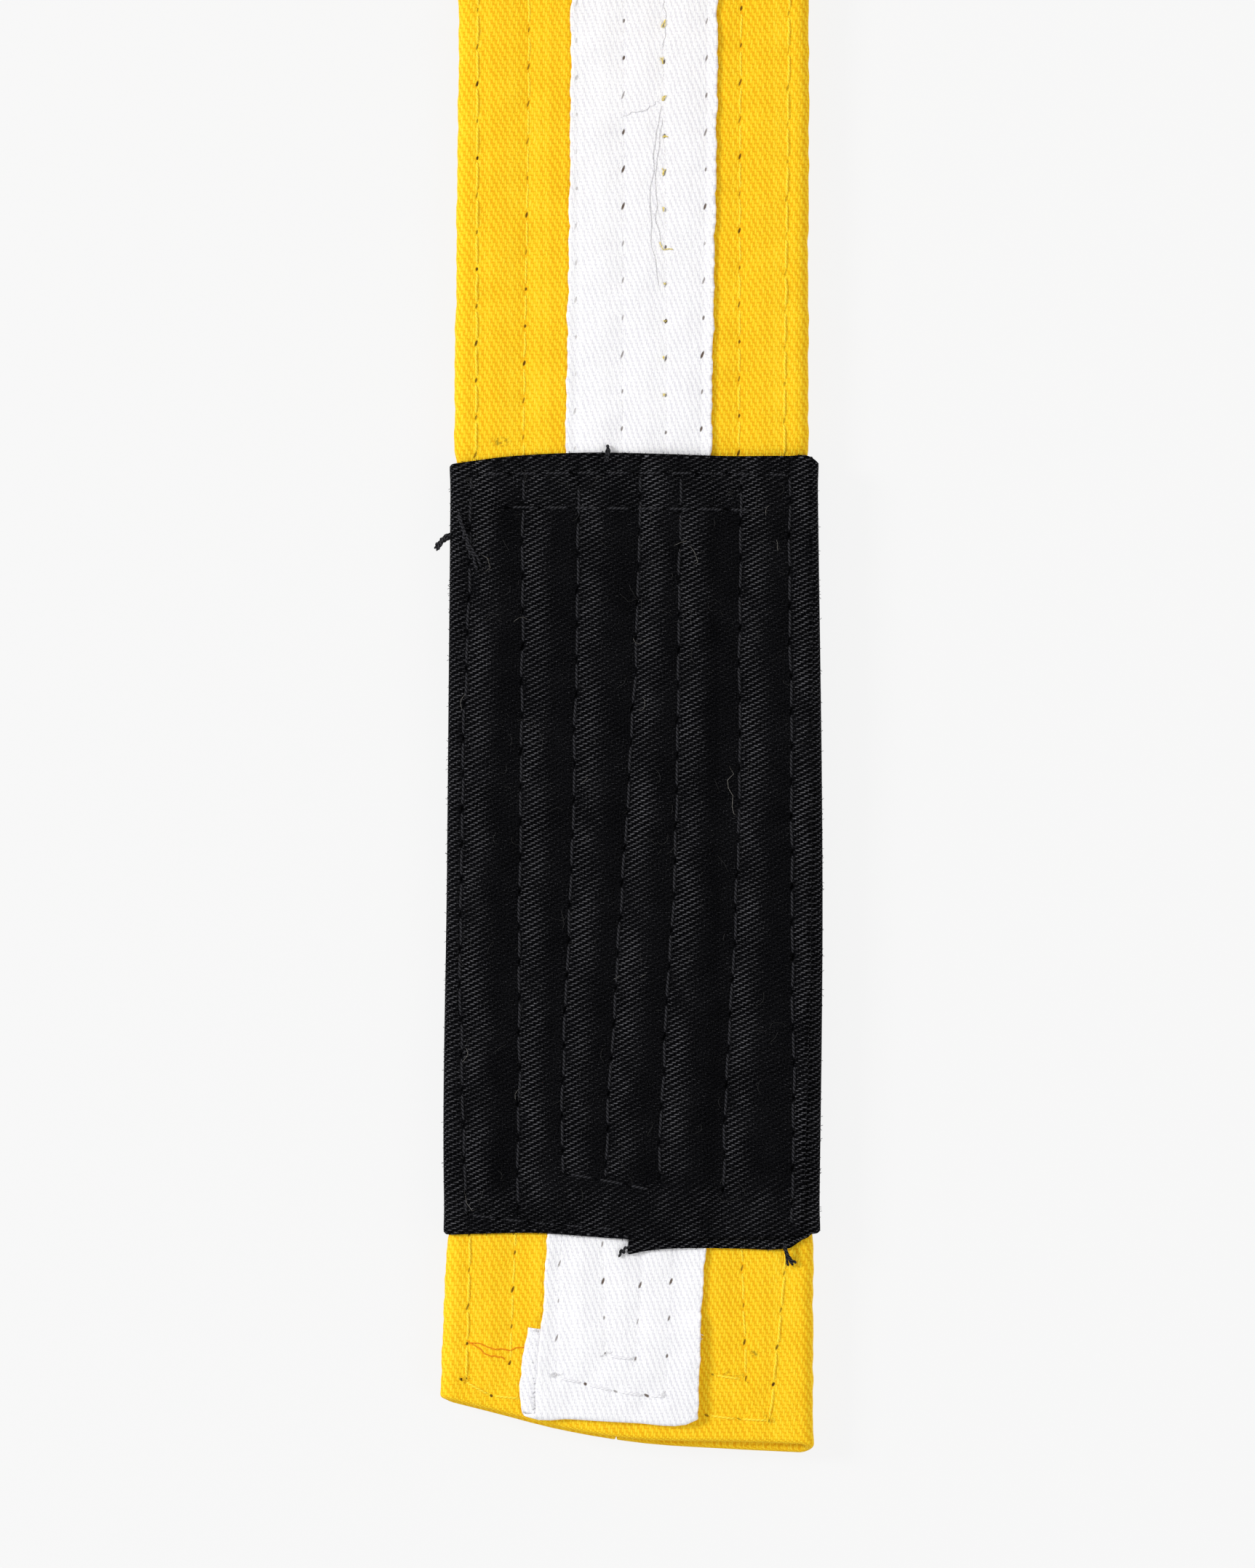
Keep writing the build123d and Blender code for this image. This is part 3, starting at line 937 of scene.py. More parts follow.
def cover_sheet(name, from_u, to_u, spacing, fine, hem):
    """A length of the cover, turned in at the tip if it has a hem."""
    tucked = np.linspace(HEM_DEPTH, 0.6, 9) if hem else None
    run, under, reached = sheet_rows(from_u, to_u, spacing, tucked, HEM_TURN)
    level = 2 * HEM_TURN * under
    front, back_left, back_right = cover_section(run, fine)
    c = COVER_CLOTH / 2

    def lift_to_tip(x, share):
        if not hem:
            return np.broadcast_to(run[:, None], x.shape)
        stop = tip_edge(x) + front_lag(x) * share
        return run[:, None] + stop * (1 - step(reached / SLANT_FADES))[:, None]

    u_front = lift_to_tip(front, 1.0)
    w_front = front_base(front, u_front) - c
    u_back_left, u_back_right = lift_to_tip(back_left, 0.0), lift_to_tip(back_right, 0.0)
    w_back_left = back_base(back_left, u_back_left) + c
    w_back_right = back_base(back_right, u_back_right) + c
    edge_steps = 9 if fine else 4
    left_x, left_w = round_edge(
        front[:, 0], belt_left(run) + c, w_back_left[:, -1], w_front[:, 0], False, edge_steps
    )
    right_x, right_w = round_edge(
        front[:, -1], belt_right(run) - c, w_back_right[:, 0], w_front[:, -1], True, edge_steps
    )
    shares = np.linspace(0, 1, edge_steps + 2)[1:-1]
    u_left, u_right = lift_to_tip(left_x, shares), lift_to_tip(right_x, shares[::-1])
    x = np.concatenate([back_left, left_x, front, right_x, back_right], axis=1)
    w = np.concatenate([w_back_left, left_w, w_front, right_w, w_back_right], axis=1)
    u = np.concatenate([u_back_left, u_left, u_front, u_right, u_back_right], axis=1)
    slope_x, slope_w = np.gradient(x, axis=1), np.gradient(w, axis=1)
    size = np.hypot(slope_x, slope_w) + 1e-9
    x = x + slope_w / size * level[:, None]
    w = w - slope_x / size * level[:, None]
    around = run_across(x, w)
    middle = back_left.shape[1] + edge_steps + front.shape[1] // 2
    around = around - around[:, middle : middle + 1] + x[:, middle : middle + 1]
    cloth = np.stack([around, u - 8 * level[:, None], np.zeros_like(u)], axis=-1)
    rows = stitching(x, u, YELLOW_ROWS, YELLOW_SEAMS)
    return ribbon(name, lay(u, x, w), COVER_CLOTH, {"cloth": cloth, "rows": rows}, yellow_cloth)


front_cover = cover_sheet("cover_front_length", 0.0, SPLIT, 0.6, True, True)
rear_cover = cover_sheet("cover_rear_length", SPLIT, belt_length, 4.2, False, False)

# ------------------------------------------------------------------ tapes

TAPE_TURN = (TAPE_CLOTH + 0.06) / 2
TAPE_HEM = 11.2
FLAP_ENDS_OVER = 2.4
tape_fold = line_through(
    (-13, 5.3), (-12.2, 4.8), (-7.7, 4.55), (0.6, 4.05), (6.9, 3.85), (7.8, 4.1), (8.4, 4.8)
)


def flap_below(past_fold):
    """1 over the tape's turned-in end, and 0 past it."""
    return 1 - step((past_fold - TAPE_HEM) / FLAP_ENDS_OVER)


def front_tape_sheet(name, from_u, to_u, spacing, fine, hem):
    near, widest = ((0.13, 0.28, 0.5, 0.8), 0.7) if fine else ((0.5,), 2.5)
    lines = [tape_from, *[row.line for row in WHITE_ROWS], tape_to]
    flap = np.linspace(TAPE_HEM, 0.5, 15) if hem else None
    run, under, reached = sheet_rows(from_u, to_u, spacing, flap, TAPE_TURN)
    raised = 2 * TAPE_TURN * (1 - under) * flap_below(reached)
    under = under[:, None]
    if hem:
        x = spread(run + 4.2, lines, near, widest)
        u = run[:, None] + tape_fold(x) * (1 - step((reached - 20) / 60))[:, None]
        wide = (x - x[:, :1]) / (x[:, -1:] - x[:, :1])
        x = x - under * (1.75 - 0.35 * np.cos(u / 3.1)) * (1 - wide) ** 1.5
    else:
        x = spread(run, lines, near, widest)
        u = np.broadcast_to(run[:, None], x.shape)
    w = front_base(x, u) + TAPE_GAP + TAPE_CLOTH / 2 + raised[:, None]
    edge = np.minimum(x - x[:, :1], x[:, -1:] - x)
    w = w + 0.10 * np.exp(-((edge / 0.8) ** 2)) * (1 - under)
    cloth = np.stack([x, u, np.zeros_like(u) + under * 3.0], axis=-1)
    rows = stitching(x, u, WHITE_ROWS, WHITE_SEAMS)
    rows[..., 0] += under * HIDDEN
    return ribbon(name, lay(u, x, w), TAPE_CLOTH, {"cloth": cloth, "rows": rows}, white_cloth)


def back_tape_sheet(name, from_u, to_u, spacing):
    lines = [tape_left, *[row.line for row in WHITE_ROWS], tape_right]
    run = sheet_rows(from_u, to_u, spacing)[0]
    x = spread(run, lines, (0.3, 0.8), 2.2)[:, ::-1]
    u = np.broadcast_to(run[:, None], x.shape)
    w = back_base(x, u) - 0.04 - TAPE_CLOTH / 2 + 0.02
    marks = {"cloth": np.stack([x, u, np.full_like(x, 7.0)], axis=-1), "rows": stitching(x, u, WHITE_ROWS)}
    return ribbon(name, lay(u, x, w), TAPE_CLOTH * 0.9, marks, white_cloth)


front_tape = front_tape_sheet("stripe_front_length", 0.0, SPLIT, 0.6, True, True)
rear_front_tape = front_tape_sheet("stripe_rear_length", SPLIT, belt_length, 3.0, False, False)
back_tape = back_tape_sheet("back_stripe_front_length", 5.0, SPLIT, 1.5)
rear_back_tape = back_tape_sheet("back_stripe_rear_length", SPLIT, belt_length, 3.0)

# ------------------------------------------------------------------ core

PLY_NAMES = ("back", "middle", "front")
PLY_FILL = 0.92
PLY_INSET = COVER_CLOTH + 0.25 + 0.9


def ply_sheet(name, ply, from_u, to_u, spacing):
    run = sheet_rows(from_u, to_u, spacing)[0]
    left, right = belt_left(run) + PLY_INSET, belt_right(run) - PLY_INSET
    x = left[:, None] + (right - left)[:, None] * np.linspace(0.0, 1.0, 24)
    u = np.broadcast_to(run[:, None], x.shape)
    u = u + (tip_edge(x) * (1 - step(run / 40))[:, None] if from_u < 20 else 0.0)
    low, high = back_base(x, u) + COVER_CLOTH + 0.04, front_base(x, u) - COVER_CLOTH - 0.04
    # Only the middle ply reaches in between the hems, where it takes up more of the room
    in_hem = 1 - step((u - HEM_DEPTH - 3.5) / 3) if ply == 1 else 0.0
    low, high = low + 0.86 * in_hem, high - 0.86 * in_hem
    thick = (high - low) * (1 / 3 + 0.4 * in_hem) * PLY_FILL
    w = low + (high - low) * (ply + 0.5) / 3
    cloth = np.stack([x, u, np.full_like(x, 11.0 + ply)], axis=-1)
    return ribbon(name, lay(u, x, w), thick, {"cloth": cloth}, core_cotton)


plies = {"front": [], "rear": []}
for ply, ply_name in enumerate(PLY_NAMES):
    start = 2.2 if ply == 1 else HEM_DEPTH + 1.6
    plies["front"].append(ply_sheet("core_" + ply_name + "_ply_front_length", ply, start, SPLIT, 1.5))
    plies["rear"].append(ply_sheet("core_" + ply_name + "_ply_rear_length", ply, SPLIT, belt_length, 3.0))

# ------------------------------------------------------------------ sewing on the belt


HOLE_SHARPNESS = 14


def stitch_wave(phase):
    """1 in a needle hole, 0 on the cloth between holes."""
    return np.abs(np.cos(phase * math.pi)) ** HOLE_SHARPNESS


def belt_threads(name, rows, seams, face, from_u, to_u, steps, sides, material):
    """Sewing thread of some rows on one face, from hole to hole."""
    paths = []
    for row in rows:
        u = np.arange(max(from_u, row.end), to_u, STITCH / steps)
        paths.append(thread_path(row.line(u), u, row.phase(u), face, row.number))
    for seam in seams:
        paths.append(thread_path(*seam.path(0.35), face, seam.number))
    return cord_mesh(name, paths, THREAD_RADIUS, sides, material)


def thread_path(x, u, phase, face, number):
    dip = stitch_wave(phase)
    x = x + wander(u, number, 0.05, 2, 9)
    if face == "cover":
        w = front_base(x, u) + THREAD_RADIUS * (-0.35 if number in (2, 7) else 0.35) - dip * 0.5
    elif face == "tape":
        sunk = 0.5 if number > 10 else -0.85
        w = front_base(x, u) + TAPE_GAP + TAPE_CLOTH + THREAD_RADIUS * sunk - dip * 0.6
        w = w + 2 * TAPE_TURN * flap_below(u - tape_fold(x)) * (u < 40)
    elif face == "back cover":
        w = back_base(x, u) - THREAD_RADIUS * 0.8 + dip * 0.6
    else:
        w = back_base(x, u) - 0.02 - TAPE_CLOTH - THREAD_RADIUS * 0.3 + dip * 0.5
    return lay(u, x, w)


SEWING = (
    ("needle_threads_yellow", YELLOW_ROWS, YELLOW_SEAMS, "cover", yellow_thread),
    ("needle_threads_white", WHITE_ROWS, WHITE_SEAMS, "tape", white_thread),
    ("bobbin_threads_yellow", YELLOW_ROWS, (), "back cover", yellow_thread),
    ("bobbin_threads_white", WHITE_ROWS, (), "back tape", white_thread),
)
front_threads, rear_threads = {}, {}
for key, rows, seams, face, material in SEWING:
    front_threads[key] = belt_threads(key + "_front_length", rows, seams, face, 0, SPLIT, 16, 7, material)
    rear_threads[key] = belt_threads(
        key + "_rear_length", rows, (), face, SPLIT, belt_length, 6, 5, material
    )

# ------------------------------------------------------------------ rank bar

bar_low_edge = line_through((-24.2, 27.9), (-11.6, 28.1), (-1.1, 27.4), (10, 27.4), (19, 27.6), (24, 28.1))
bar_flap_low = line_through(
    (-1, 25.3), (2, 25.9), (6, 26.2), (10, 26.2), (14.5, 26.1),
    (18.9, 26.05), (20.3, 26.3), (21.4, 27.1), (24, 27.9),
)
bar_high_edge = line_through(
    (-23.8, 126.7), (-16, 127.7), (-5, 128.2), (4, 128.0),
    (12, 127.75), (20, 127.75), (22.6, 127.7), (24, 126.7),
)
bar_flap_side = line_through((24, -0.6), (60, 1.5), (128, 3.0))


BAR_GAP = 0.04
LAYER_GAP = 0.05
WRAP_FOLD, WRAP_RISES = 6.0, 2.0
WRAP_THICKER = BAR_CLOTH * 0.55


def bar_levels(x, u, layer):
    """Height of the middle of a layer of the bar over the belt: 0 lies on it, 1 over that."""
    base = front_top(x, u) + BAR_GAP + BAR_CLOTH / 2
    over = step((x - bar_flap_side(u) + 2.2) / 2.6)
    return base + layer * over * (BAR_CLOTH + LAYER_GAP)


def rubbed_and_lit(x, u):
    """Where the black cloth is painted pale: partly rubbed pale and partly painted highlight, on the
    puffed side of each row, which faces the light, and near its ends.
    """
    total = np.full(np.shape(x), 0.3)
    for row in BAR_ROWS:
        off = x - row.line(u)
        beside = np.exp(-(((off - 1.5) / 2.6) ** 2)) * step(off / 0.3) * step((u - row.end + 3) / 5)
        total = np.maximum(total, np.where(off > 0, beside, 0.0))
    total = np.maximum(total, 0.8 * step((BAR_ROWS[0].line(u) - x) / 0.4))
    patchy = 0.85 + wander(u + 2 * x, 51, 0.14, 5, 30) + wander(u - 2 * x, 52, 0.12, 3, 18)
    near_ends = 0.7 * np.maximum(step((38 - u) / 6), step((u - 118) / 5))
    return np.clip(np.maximum(total, near_ends) * np.clip(patchy, 0.4, 1.2), 0.05, 1.0)


BAR_EDGE_RUN = 1.6
EDGE_STEPS = 9
TURN_UNDER = np.array([0.8, 1.8, 3.0, 4.2])
RIM_STEPS = np.array([0.08, 0.35, 0.62, 0.82])[:, None] * 0.42
RIM_THICKNESS = np.array([0.30, 0.62, 0.84, 0.96])[:, None]


def flat_left(u):
    return bar_left(u) + BAR_EDGE_RUN


def flat_right(u):
    return bar_right(u) - BAR_EDGE_RUN


def wrap_end(u):
    return bar_wrap_edge(u) - 0.3


def bar_sheet():
    """The rank bar: one cloth round the belt, its first edge covered by its last, which turns under."""
    t = np.linspace(0, 1, 150)
    nominal = bar_from + 1 + t * (bar_to - bar_from - 2)
    rows = [row.line for row in BAR_ROWS]
    flap = spread(nominal, [bar_flap_side, rows[5], rows[6], flat_right], (0.2, 0.6), 1.2)
    back = spread(nominal, [flat_left, flat_right], (0.5,), 1.6)[:, ::-1]
    front = spread(nominal, [flat_left, *rows, wrap_end], (0.14, 0.3, 0.55, 0.9), 0.75)

    def along(x, low, high):
        return low(x) * (1 - t[:, None]) + high(x) * t[:, None]

    u_flap = along(flap, bar_flap_low, lambda x: bar_high_edge(x) - 1.0)
    w_flap = bar_levels(flap, u_flap, 0)
    u_back = along(back, bar_low_edge, bar_high_edge)
    w_back = np.full_like(back, BAR_CLOTH / 2 + 0.02)
    u_front = along(front, bar_low_edge, bar_high_edge)
    fold_zone = step((front - wrap_end(nominal)[:, None] + WRAP_FOLD) / WRAP_RISES)
    w_front = bar_levels(front, u_front, 1) + fold_zone * WRAP_THICKER
    c = BAR_CLOTH / 2
    right_x, right_w = round_edge(
        flap[:, -1], bar_right(nominal) - c, w_back[:, 0], w_flap[:, -1], True, EDGE_STEPS
    )
    left_x, left_w = round_edge(
        back[:, -1], bar_left(nominal) + c, w_back[:, -1], w_front[:, 0], False, EDGE_STEPS
    )
    u_right = along(right_x, bar_low_edge, bar_high_edge)
    u_left = along(left_x, bar_low_edge, bar_high_edge)
    radius = BAR_CLOTH * 0.3
    arc = np.radians(np.linspace(75, -90, 7))
    fold_x = front[:, -1:] + radius * np.cos(arc)
    fold_w = w_front[:, -1:] - radius + radius * np.sin(arc)
    inner_x, inner_w = front[:, -1:] - TURN_UNDER, fold_w[:, -1:] - 0.02 * TURN_UNDER
    u_inner, u_fold = (np.repeat(u_front[:, -1:], len(part), 1) for part in (TURN_UNDER, arc))
    x = np.concatenate([flap, right_x, back, left_x, front, fold_x, inner_x], axis=1)
    u = np.concatenate([u_flap, u_right, u_back, u_left, u_front, u_fold, u_inner], axis=1)
    w = np.concatenate([w_flap, right_w, w_back, left_w, w_front, fold_w, inner_w], axis=1)
    thick = np.full(x.shape, BAR_CLOTH)
    thick[:, -len(TURN_UNDER) - len(arc) :] = BAR_CLOTH * 0.5
    from_end = np.minimum(u - u[:1], u[-1:] - u)
    thick = thick * (1 + 0.45 * np.exp(-((from_end / 2.2) ** 2)))
    x, w = (np.concatenate([np.repeat(v[:1], 4, 0), v[1:-1], np.repeat(v[-1:], 4, 0)]) for v in (x, w))
    u = np.concatenate([u[:1] + RIM_STEPS, u[1:-1], u[-1:] - RIM_STEPS[::-1]])
    thick = np.concatenate([thick[:1] * RIM_THICKNESS, thick[1:-1], thick[-1:] * RIM_THICKNESS[::-1]])
    cloth = np.stack([run_across(x, w), u, np.zeros_like(u)], axis=-1)
    marks = stitching(x, u, BAR_ROWS, BAR_SEAMS)
    first = flap.shape[1] + back.shape[1] + 2 * EDGE_STEPS
    marks[:, :first, 0] += HIDDEN
    marks[:, first + front.shape[1] :, 0] += HIDDEN
    # Paleness of the black cloth, partly rubbed and partly painted highlight; the flap and the back are
    # painted pale all over.
    wear_and_highlight = np.zeros_like(marks)
    wear_and_highlight[..., 0] = rubbed_and_lit(x, u)
    wear_and_highlight[:, :first, 0] = 0.8
    marks = {"cloth": cloth, "rows": marks, "wear_and_highlight": wear_and_highlight}
    return ribbon("rank_bar", lay(u, x, w), thick, marks, black_cloth)


rank_bar = bar_sheet()


def bar_top(x, u):
    """Height of the bar's upper face."""
    over = step((x - bar_wrap_edge(u) + WRAP_FOLD) / WRAP_RISES) * WRAP_THICKER
    return bar_levels(x, u, 1) + over + BAR_CLOTH / 2


def bar_threads(name, rows, seams, underside):
    runs = []
    for row in rows:
        u = np.arange(max(row.end, bar_from + 2.0), bar_to - 2.4, BAR_STITCH / 14)
        runs.append((row.line(u), u, row.phase(u)))
    paths = []
    for x, u, phase in [*runs, *[seam.path(0.3) for seam in seams]]:
        dip = stitch_wave(phase)
        w = dip * 0.3 - 0.02 if underside else bar_top(x, u) + THREAD_RADIUS * 0.15 - dip * 0.6
        paths.append(lay(u, x, w))
    return cord_mesh(name, paths, THREAD_RADIUS, 7, black_thread)


bar_sewing = [
    bar_threads("rank_bar_long_rows", BAR_ROWS, (), False),
    bar_threads("rank_bar_cross_rows", (), BAR_SEAMS, False),
    bar_threads("rank_bar_underside_rows", BAR_ROWS, BAR_SEAMS[:2], True),
]

# ------------------------------------------------------------------ loose thread ends


def smooth_path(points, steps):
    """A smooth path through points, and how many points it has passed at each step."""
    points = np.array(points, float)
    t = np.linspace(0, len(points) - 1, steps * len(points))
    return t, [line_through(*enumerate(column))(t) for column in points.T]


def loose(points, seed, curl):
    """A loose end: a smooth path through points (across, along, above the belt), a little curly."""
    t, (x, u, w) = smooth_path(points, 12)
    free = np.sin(np.clip(t, 0, 1) * math.pi / 2)
    x = x + wander(t * 2.0, seed, curl, 0.8, 3.0) * free
    u = u + wander(t * 2.0, seed + 1, curl, 0.8, 3.0) * free
    return lay(u, x, w)


def on_bar(x, u, lift):
    return x, u, float(bar_top(np.array([x]), np.array([u]))[0]) + lift


loose_ends = cord_mesh(
    "rank_bar_loose_ends",
    [
        loose([on_bar(-3.6, 127.0, 0.0), on_bar(-3.1, 128.2, 0.1), on_bar(-3.3, 129.2, -0.3)], 41, 0.05),
        loose([on_bar(-3.1, 127.0, 0.0), on_bar(-3.4, 128.1, 0.1), on_bar(-3.1, 129.1, -0.3)], 42, 0.05),
        loose([(-23.3, 117.6, 4.5), (-24.3, 117.0, 4.3), (-25.2, 115.8, 3.6)], 43, 0.15),
        loose([(19.3, 26.9, 6.2), (19.6, 25.4, 5.8), (19.9, 23.9, 5.5)], 44, 0.04),
        loose([(19.5, 26.9, 6.3), (19.8, 25.3, 6.0), (20.5, 24.0, 5.6)], 45, 0.04),
        loose([(19.4, 26.6, 6.4), (20.0, 25.1, 6.0), (20.9, 24.3, 5.5)], 50, 0.04),
        loose([(-0.4, 26.6, 6.2), (-1.2, 26.0, 6.0), (-1.8, 25.3, 5.9)], 46, 0.2),
        loose([on_bar(*point) for point in (
            (-22.3, 120.6, -0.1), (-21.9, 118.9, 0.2), (-20.9, 116.4, 0.2), (-19.5, 113.6, 0.15)
        )], 47, 0.15),
        loose([on_bar(*point) for point in (
            (-22.5, 120.2, -0.1), (-21.8, 118.6, 0.2), (-21.1, 116.0, 0.2), (-19.9, 113.2, 0.15)
        )], 48, 0.15),
        loose([(-23.2, 117.9, 4.4), (-24.4, 117.2, 4.2), (-25.0, 116.3, 3.7)], 49, 0.15),
        loose([(-23.3, 117.3, 4.2), (-24.5, 116.8, 4.0), (-25.4, 116.0, 3.4)], 51, 0.1),
        loose([(-23.3, 117.7, 4.7), (-24.2, 117.3, 4.5), (-25.1, 115.6, 3.9)], 52, 0.1),
    ],
    0.19, 6, black_thread,
)

# ------------------------------------------------------------------ lint and pulled threads


def fibre(x, u, w, heading, length, seed, curl):
    """A fine fibre that lies on the cloth, with its own curl."""
    source = random.Random(seed)
    steps = 14
    turn, path = source.uniform(-curl, curl), []
    for part in range(steps):
        path.append((x, u, w + 0.12 * math.sin(part / (steps - 1) * math.pi)))
        heading += turn * length / steps + source.uniform(-0.25, 0.25) * curl
        x += math.cos(heading) * length / steps
        u += math.sin(heading) * length / steps
    return np.array(path)


def settle(path, height):
    """A path over the cloth, given its height there: x, along and the lift above it."""
    return lay(path[:, 1], path[:, 0], height(path[:, 0], path[:, 1]) + path[:, 2])


def scatter(count, seed, lengths, curl, radius, name, material):
    """Fine lint over the rank bar, more of it toward the bar's far end."""
    source = random.Random(seed)
    paths = []
    for number in range(count):
        x, u = source.uniform(-22, 20), source.uniform(bar_from + 4, bar_to - 2)
        if u > 105 or source.random() < 0.55:
            heading, length = source.uniform(0, math.tau), source.uniform(*lengths)
            line = fibre(x, u, 0.05, heading, length, seed * 1000 + number, curl)
            line[:, 0] = np.clip(line[:, 0], -22.6, 21.8)
            line[:, 1] = np.clip(line[:, 1], bar_from + 2, bar_to - 1)
            paths.append(settle(line, bar_top))
    piece = cord_mesh(name, paths, radius, 5, material)
    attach(piece, "tip")


scatter(26, 5, (0.8, 3.2), 1.1, 0.022, "pale_lint", lint_paint)
scatter(230, 6, (0.6, 3.0), 1.3, 0.024, "grey_lint", grey_lint)


ROOT_INSIDE = 0.15


def hairs(name, count, seed, lines, material, reach, radius):
    """Short hairs that stand out of worn edges. lines: (points across and along, height, way out)."""
    source = random.Random(seed)
    paths = []
    for points, height, way in lines:
        points = np.array(points, float)
        lengths = np.linalg.norm(np.diff(points, axis=0), axis=1)
        run = np.concatenate([[0], np.cumsum(lengths)])
        for _ in range(int(count * run[-1] / 100)):
            at = source.uniform(0, run[-1])
            x, u = np.interp(at, run, points[:, 0]), np.interp(at, run, points[:, 1])
            heading = way + source.uniform(-1.1, 1.1)
            x, u = x - math.cos(way) * ROOT_INSIDE, u - math.sin(way) * ROOT_INSIDE
            level = height if isinstance(height, float) else float(height(np.array([x]), np.array([u]))[0])
            hair = fibre(x, u, 0.0, heading, source.uniform(*reach), seed * 5000 + len(paths), 1.3)
            paths.append(lay(hair[:, 1], hair[:, 0], level + source.uniform(-0.25, 0.15) + hair[:, 2]))
    return cord_mesh(name, paths, radius, 5, material)


def bar_middle(x, u):
    return bar_top(x, u) - BAR_CLOTH / 2


def flap_middle(x, u):
    return bar_levels(x, u, 0)


WEST, EAST, NORTH, SOUTH = math.pi, 0.0, math.pi / 2, -math.pi / 2
side_u = np.linspace(bar_from + 1.0, bar_to - 0.6, 30)
end_x = np.linspace(-21.9, 21.6, 24)
flap_x = np.linspace(-0.6, 21.5, 12)
flap_corner = np.array([25.6, 27.2])
bar_fuzz = hairs(
    "rank_bar_fuzz", 120, 8,
    [
        (np.stack([bar_left(side_u), side_u], 1), 3.6, WEST),
        (np.stack([bar_right(side_u), side_u], 1), 3.6, EAST),
        (np.stack([end_x, bar_high_edge(end_x)], 1), bar_middle, NORTH),
        (np.stack([end_x[:12], bar_low_edge(end_x[:12])], 1), bar_middle, SOUTH),
        (np.stack([flap_x, bar_flap_low(flap_x)], 1), flap_middle, SOUTH),
        (np.stack([bar_flap_side(flap_corner) - 0.1, flap_corner], 1), flap_middle, WEST),
        (np.stack([bar_wrap_edge(side_u), side_u], 1), bar_middle, EAST),
    ],
    black_thread, (0.15, 0.5), 0.03,
)

LONG_LINT = (
    [(12.3, 88.0), (12.9, 87.0), (12.1, 86.2), (12.2, 85.2), (12.8, 84.2), (12.7, 82.8), (12.9, 81.9),
     (13.4, 81.6)],
    [(7.2, 116.4), (7.9, 115.3), (8.3, 114.1), (7.7, 113.8)],
    [(-19.6, 115.2), (-18.6, 114.6), (-18.3, 113.4), (-19.2, 112.7)],
    [(-21.6, 33.6), (-21.3, 32.0), (-20.6, 31.0), (-20.0, 31.2)],
)
long_lint_paths = [settle(np.array([(x, u, 0.06) for x, u in bend]), bar_top) for bend in LONG_LINT]
long_lint = cord_mesh("long_lint", long_lint_paths, 0.03, 6, lint_paint)
for piece in (bar_fuzz, long_lint):
    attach(piece, "tip")

flap_top = np.linspace(-13.0, -11.4, 5)
flap_side = np.linspace(5.6, 15.6, 12)
tape_fuzz = hairs(
    "stripe_end_fuzz", 520, 9,
    [
        (np.stack([flap_top, np.full(5, 15.6)], 1), 5.5, NORTH),
        (np.stack([-12.55 - 0.04 * (flap_side - 5), flap_side], 1), 5.4, WEST),
        (np.stack([[8.4, 8.6], [14.0, 15.2]], 1), 5.6, EAST),
    ],
    white_thread, (0.25, 0.8), 0.04,
)


# Yellow fluff pulled up through the holes of a white row, past the rank bar
FLUFF_FROM, FLUFF_TO, FLUFF_GROWS = 133.5, 187, 150
fluff_row = WHITE_ROWS[2]
fluff_paths = []
for number, near in enumerate(np.arange(FLUFF_FROM, FLUFF_TO, STITCH)):
    u = fluff_row.end + round((near - fluff_row.end) / STITCH) * STITCH
    least, more = (0.35, 0.5) if u > FLUFF_GROWS else (0.15, 0.4)
    reach = least + more * random_source.random()
    for strand in range(2):
        x = float(fluff_row.line(u)) - 0.12 + random_source.uniform(-0.15, 0.1)
        heading = math.pi / 2 + random_source.uniform(-0.5, 0.5)
        line = fibre(x, u - reach / 2, 0.05, heading, reach * 1.6, 300 + 2 * number + strand, 1.6)
        fluff_paths.append(settle(line, front_top))
row_fluff = cord_mesh("yellow_fluff_in_the_white_rows", fluff_paths, 0.06, 5, pale_yellow_thread)


def float_over(points, seed):
    """A thread that floats over the cloth through points given across and along."""
    t, (x, u) = smooth_path(points, 14)
    x = x + wander(t * 2, seed, 0.12, 0.9, 3)
    u = u + wander(t * 2, seed + 1, 0.12, 0.9, 3)
    rise = 0.02 * np.sin(t / t[-1] * math.pi) + 0.02
    return settle(np.stack([x, u, rise], axis=1), front_top)


pulled_white = cord_mesh(
    "pulled_white_threads",
    [
        float_over([(3.6, 172.5), (2.6, 166.0), (2.2, 158.0), (3.2, 149.5)], 61),
        float_over([(3.7, 171.0), (3.0, 165.0), (2.9, 160.0), (3.5, 154.5)], 62),
        float_over([(3.3, 173.2), (1.6, 172.2), (-1.4, 171.2)], 63),
        float_over([(3.6, 187.0), (4.2, 183.5), (3.7, 180.0)], 64),
    ],
    0.055, 6, white_thread,
)
pulled_orange = cord_mesh(
    "pulled_orange_threads",
    [
        float_over([(-21.3, 14.4), (-17.0, 13.2), (-13.2, 13.6)], 65),
        float_over([(-21.0, 14.2), (-18.6, 12.6), (-16.4, 12.0)], 66),
    ],
    0.085, 6, orange_thread,
)

# ------------------------------------------------------------------ riding and replacing


def along_belt(u):
    return (0.0, (tip_y + u) * MM, front_z * MM)


front_pieces = [
    front_cover, front_tape, back_tape, *plies["front"], *front_threads.values(), row_fluff, pulled_white,
    pulled_orange, tape_fuzz,
]
rear_pieces = [rear_cover, rear_front_tape, rear_back_tape, *plies["rear"], *rear_threads.values()]
for piece in front_pieces:
    along_belt(tip_bend + TIP_BEND_SPREAD)
    along_belt(tip_bend - TIP_BEND_SPREAD)
    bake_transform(piece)
for piece in rear_pieces:
    along_belt(strap_bend + STRAP_BEND_SPREAD)
    along_belt(strap_bend - STRAP_BEND_SPREAD)
    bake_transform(piece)
for piece in (rank_bar, loose_ends, *bar_sewing):
    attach(piece, "tip")

FRONT_STRETCHES, REAR_STRETCHES = ("tip", "strap"), ("lead", "roll")


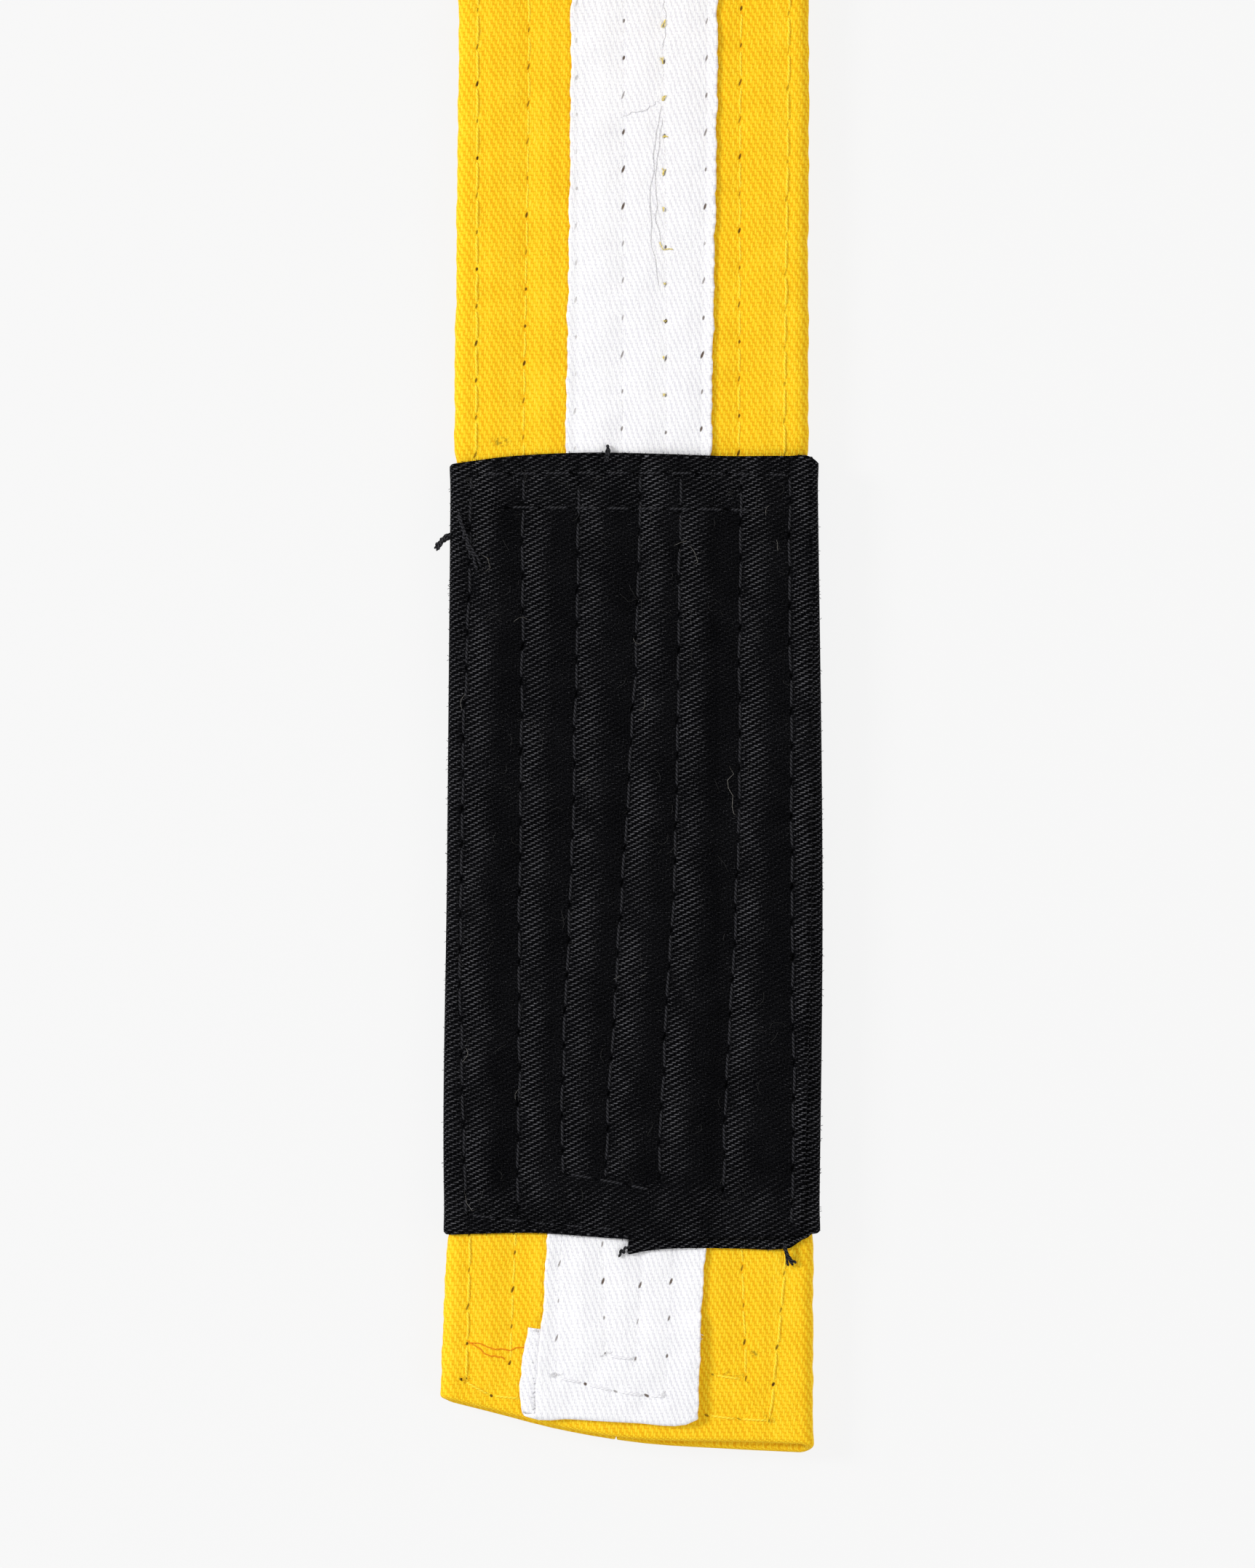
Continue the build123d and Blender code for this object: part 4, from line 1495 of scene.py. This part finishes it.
def stand_for(stretches, layer, extra=()):
    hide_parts(*[stretch + "_" + layer for stretch in stretches], *extra)


for stretches, cover, tape, back, cores, threads in (
    (FRONT_STRETCHES, front_cover, front_tape, back_tape, plies["front"], front_threads),
    (REAR_STRETCHES, rear_cover, rear_front_tape, rear_back_tape, plies["rear"], rear_threads),
):
    stand_for(stretches, "cover")
    stand_for(stretches, "stripe_front")
    stand_for(stretches, "stripe_back")
    for ply_name, piece in zip(PLY_NAMES, cores):
        stand_for(stretches, "core_" + ply_name + "_ply")
    for key, piece in threads.items():
        extra = ()
        if stretches == FRONT_STRETCHES and key == "needle_threads_yellow":
            extra = ("tip_closing_threads",)
        if stretches == FRONT_STRETCHES and key == "needle_threads_white":
            extra = ("stripe_end_threads",)
        stand_for(stretches, key, extra)
        "yellow_thread" if "yellow" in key else "white_thread"
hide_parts("rank_bar_sleeve")
BAR_SEWING_NAMES = ("needle_threads", "cross_threads", "bobbin_threads", "thread_tails")
for piece, sewn in zip((*bar_sewing, loose_ends), BAR_SEWING_NAMES):
    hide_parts("rank_bar_" + sewn)

# The size of the cloth each piece is cut from, computed and not kept
front_length, rear_length = SPLIT + HEM_DEPTH, belt_length - SPLIT
COVER_ROUND = 2 * 2 * belt_half + 2 * (cover_top - cover_floor)
TAPE_WIDE = tape_box[1].x - tape_box[0].x
PLY_WIDE = 2 * belt_half - 1.2
for piece, wide, long in (
    (front_cover, COVER_ROUND, front_length),
    (rear_cover, COVER_ROUND, rear_length),
    (front_tape, TAPE_WIDE, SPLIT - 4 + TAPE_HEM),
    (rear_front_tape, TAPE_WIDE, rear_length),
    (back_tape, TAPE_WIDE, SPLIT - 5),
    (rear_back_tape, TAPE_WIDE, rear_length),
    *[(ply, PLY_WIDE, SPLIT - 8) for ply in plies["front"]],
    *[(ply, PLY_WIDE, rear_length) for ply in plies["rear"]],
):
    wide * MM
    long * MM

# ------------------------------------------------------------------ floor and light

FLOOR_HALF = 3
FLOOR_DROP = 0.0002
WHITE = (1.0, 1.0, 1.0, 1.0)
floor_data = bpy.data.meshes.new("floor")
floor_corners = [(FLOOR_HALF * x, FLOOR_HALF * y, 0) for x, y in ((-1, -1), (1, -1), (1, 1), (-1, 1))]
floor_data.from_pydata(floor_corners, [], [(0, 1, 2, 3)])
floor = bpy.data.objects.new("floor", floor_data)
floor.location.z = -FLOOR_DROP
scene.collection.objects.link(floor)
# A table of lit white acrylic, so that hardly any shadow shows on it
FLOOR_GREY = (0.06, 0.06, 0.06, 1.0)
FLOOR_GLOW = 0.866
SKY_GLOW = 0.6
floor_paint = Paint("lit table", roughness=0.9, gloss=0.0)
floor_paint.surface.inputs["Emission Color"].default_value = WHITE
floor_paint.surface.inputs["Emission Strength"].default_value = FLOOR_GLOW
floor_data.materials.append(floor_paint.finish(FLOOR_GREY))

world = bpy.data.worlds.new("studio")
scene.world = world
world.use_nodes = True
sky = next(n for n in world.node_tree.nodes if n.type == "BACKGROUND")
sky.inputs["Color"].default_value = WHITE
sky.inputs["Strength"].default_value = SKY_GLOW


def soft_light(name, place, size, watts):
    """A square of soft light that faces the belt's end."""
    lamp = bpy.data.lights.new(name, "AREA")
    lamp.size = size
    lamp.energy = watts
    light = bpy.data.objects.new(name, lamp)
    target = np.array([0.0, (tip_y + 90) * MM, 0.0])
    light.location = target + np.array(place)
    way = target - np.array(light.location)
    light.rotation_euler = mathutils.Vector(way).to_track_quat("-Z", "Y").to_euler()
    scene.collection.objects.link(light)


soft_light("key", (-1.5, 0.5, 1.1), 0.5, 26.0)
soft_light("fill", (1.4, -0.6, 1.6), 1.2, 11.0)

scene.view_settings.view_transform = "Standard"
scene.view_settings.look = "None"
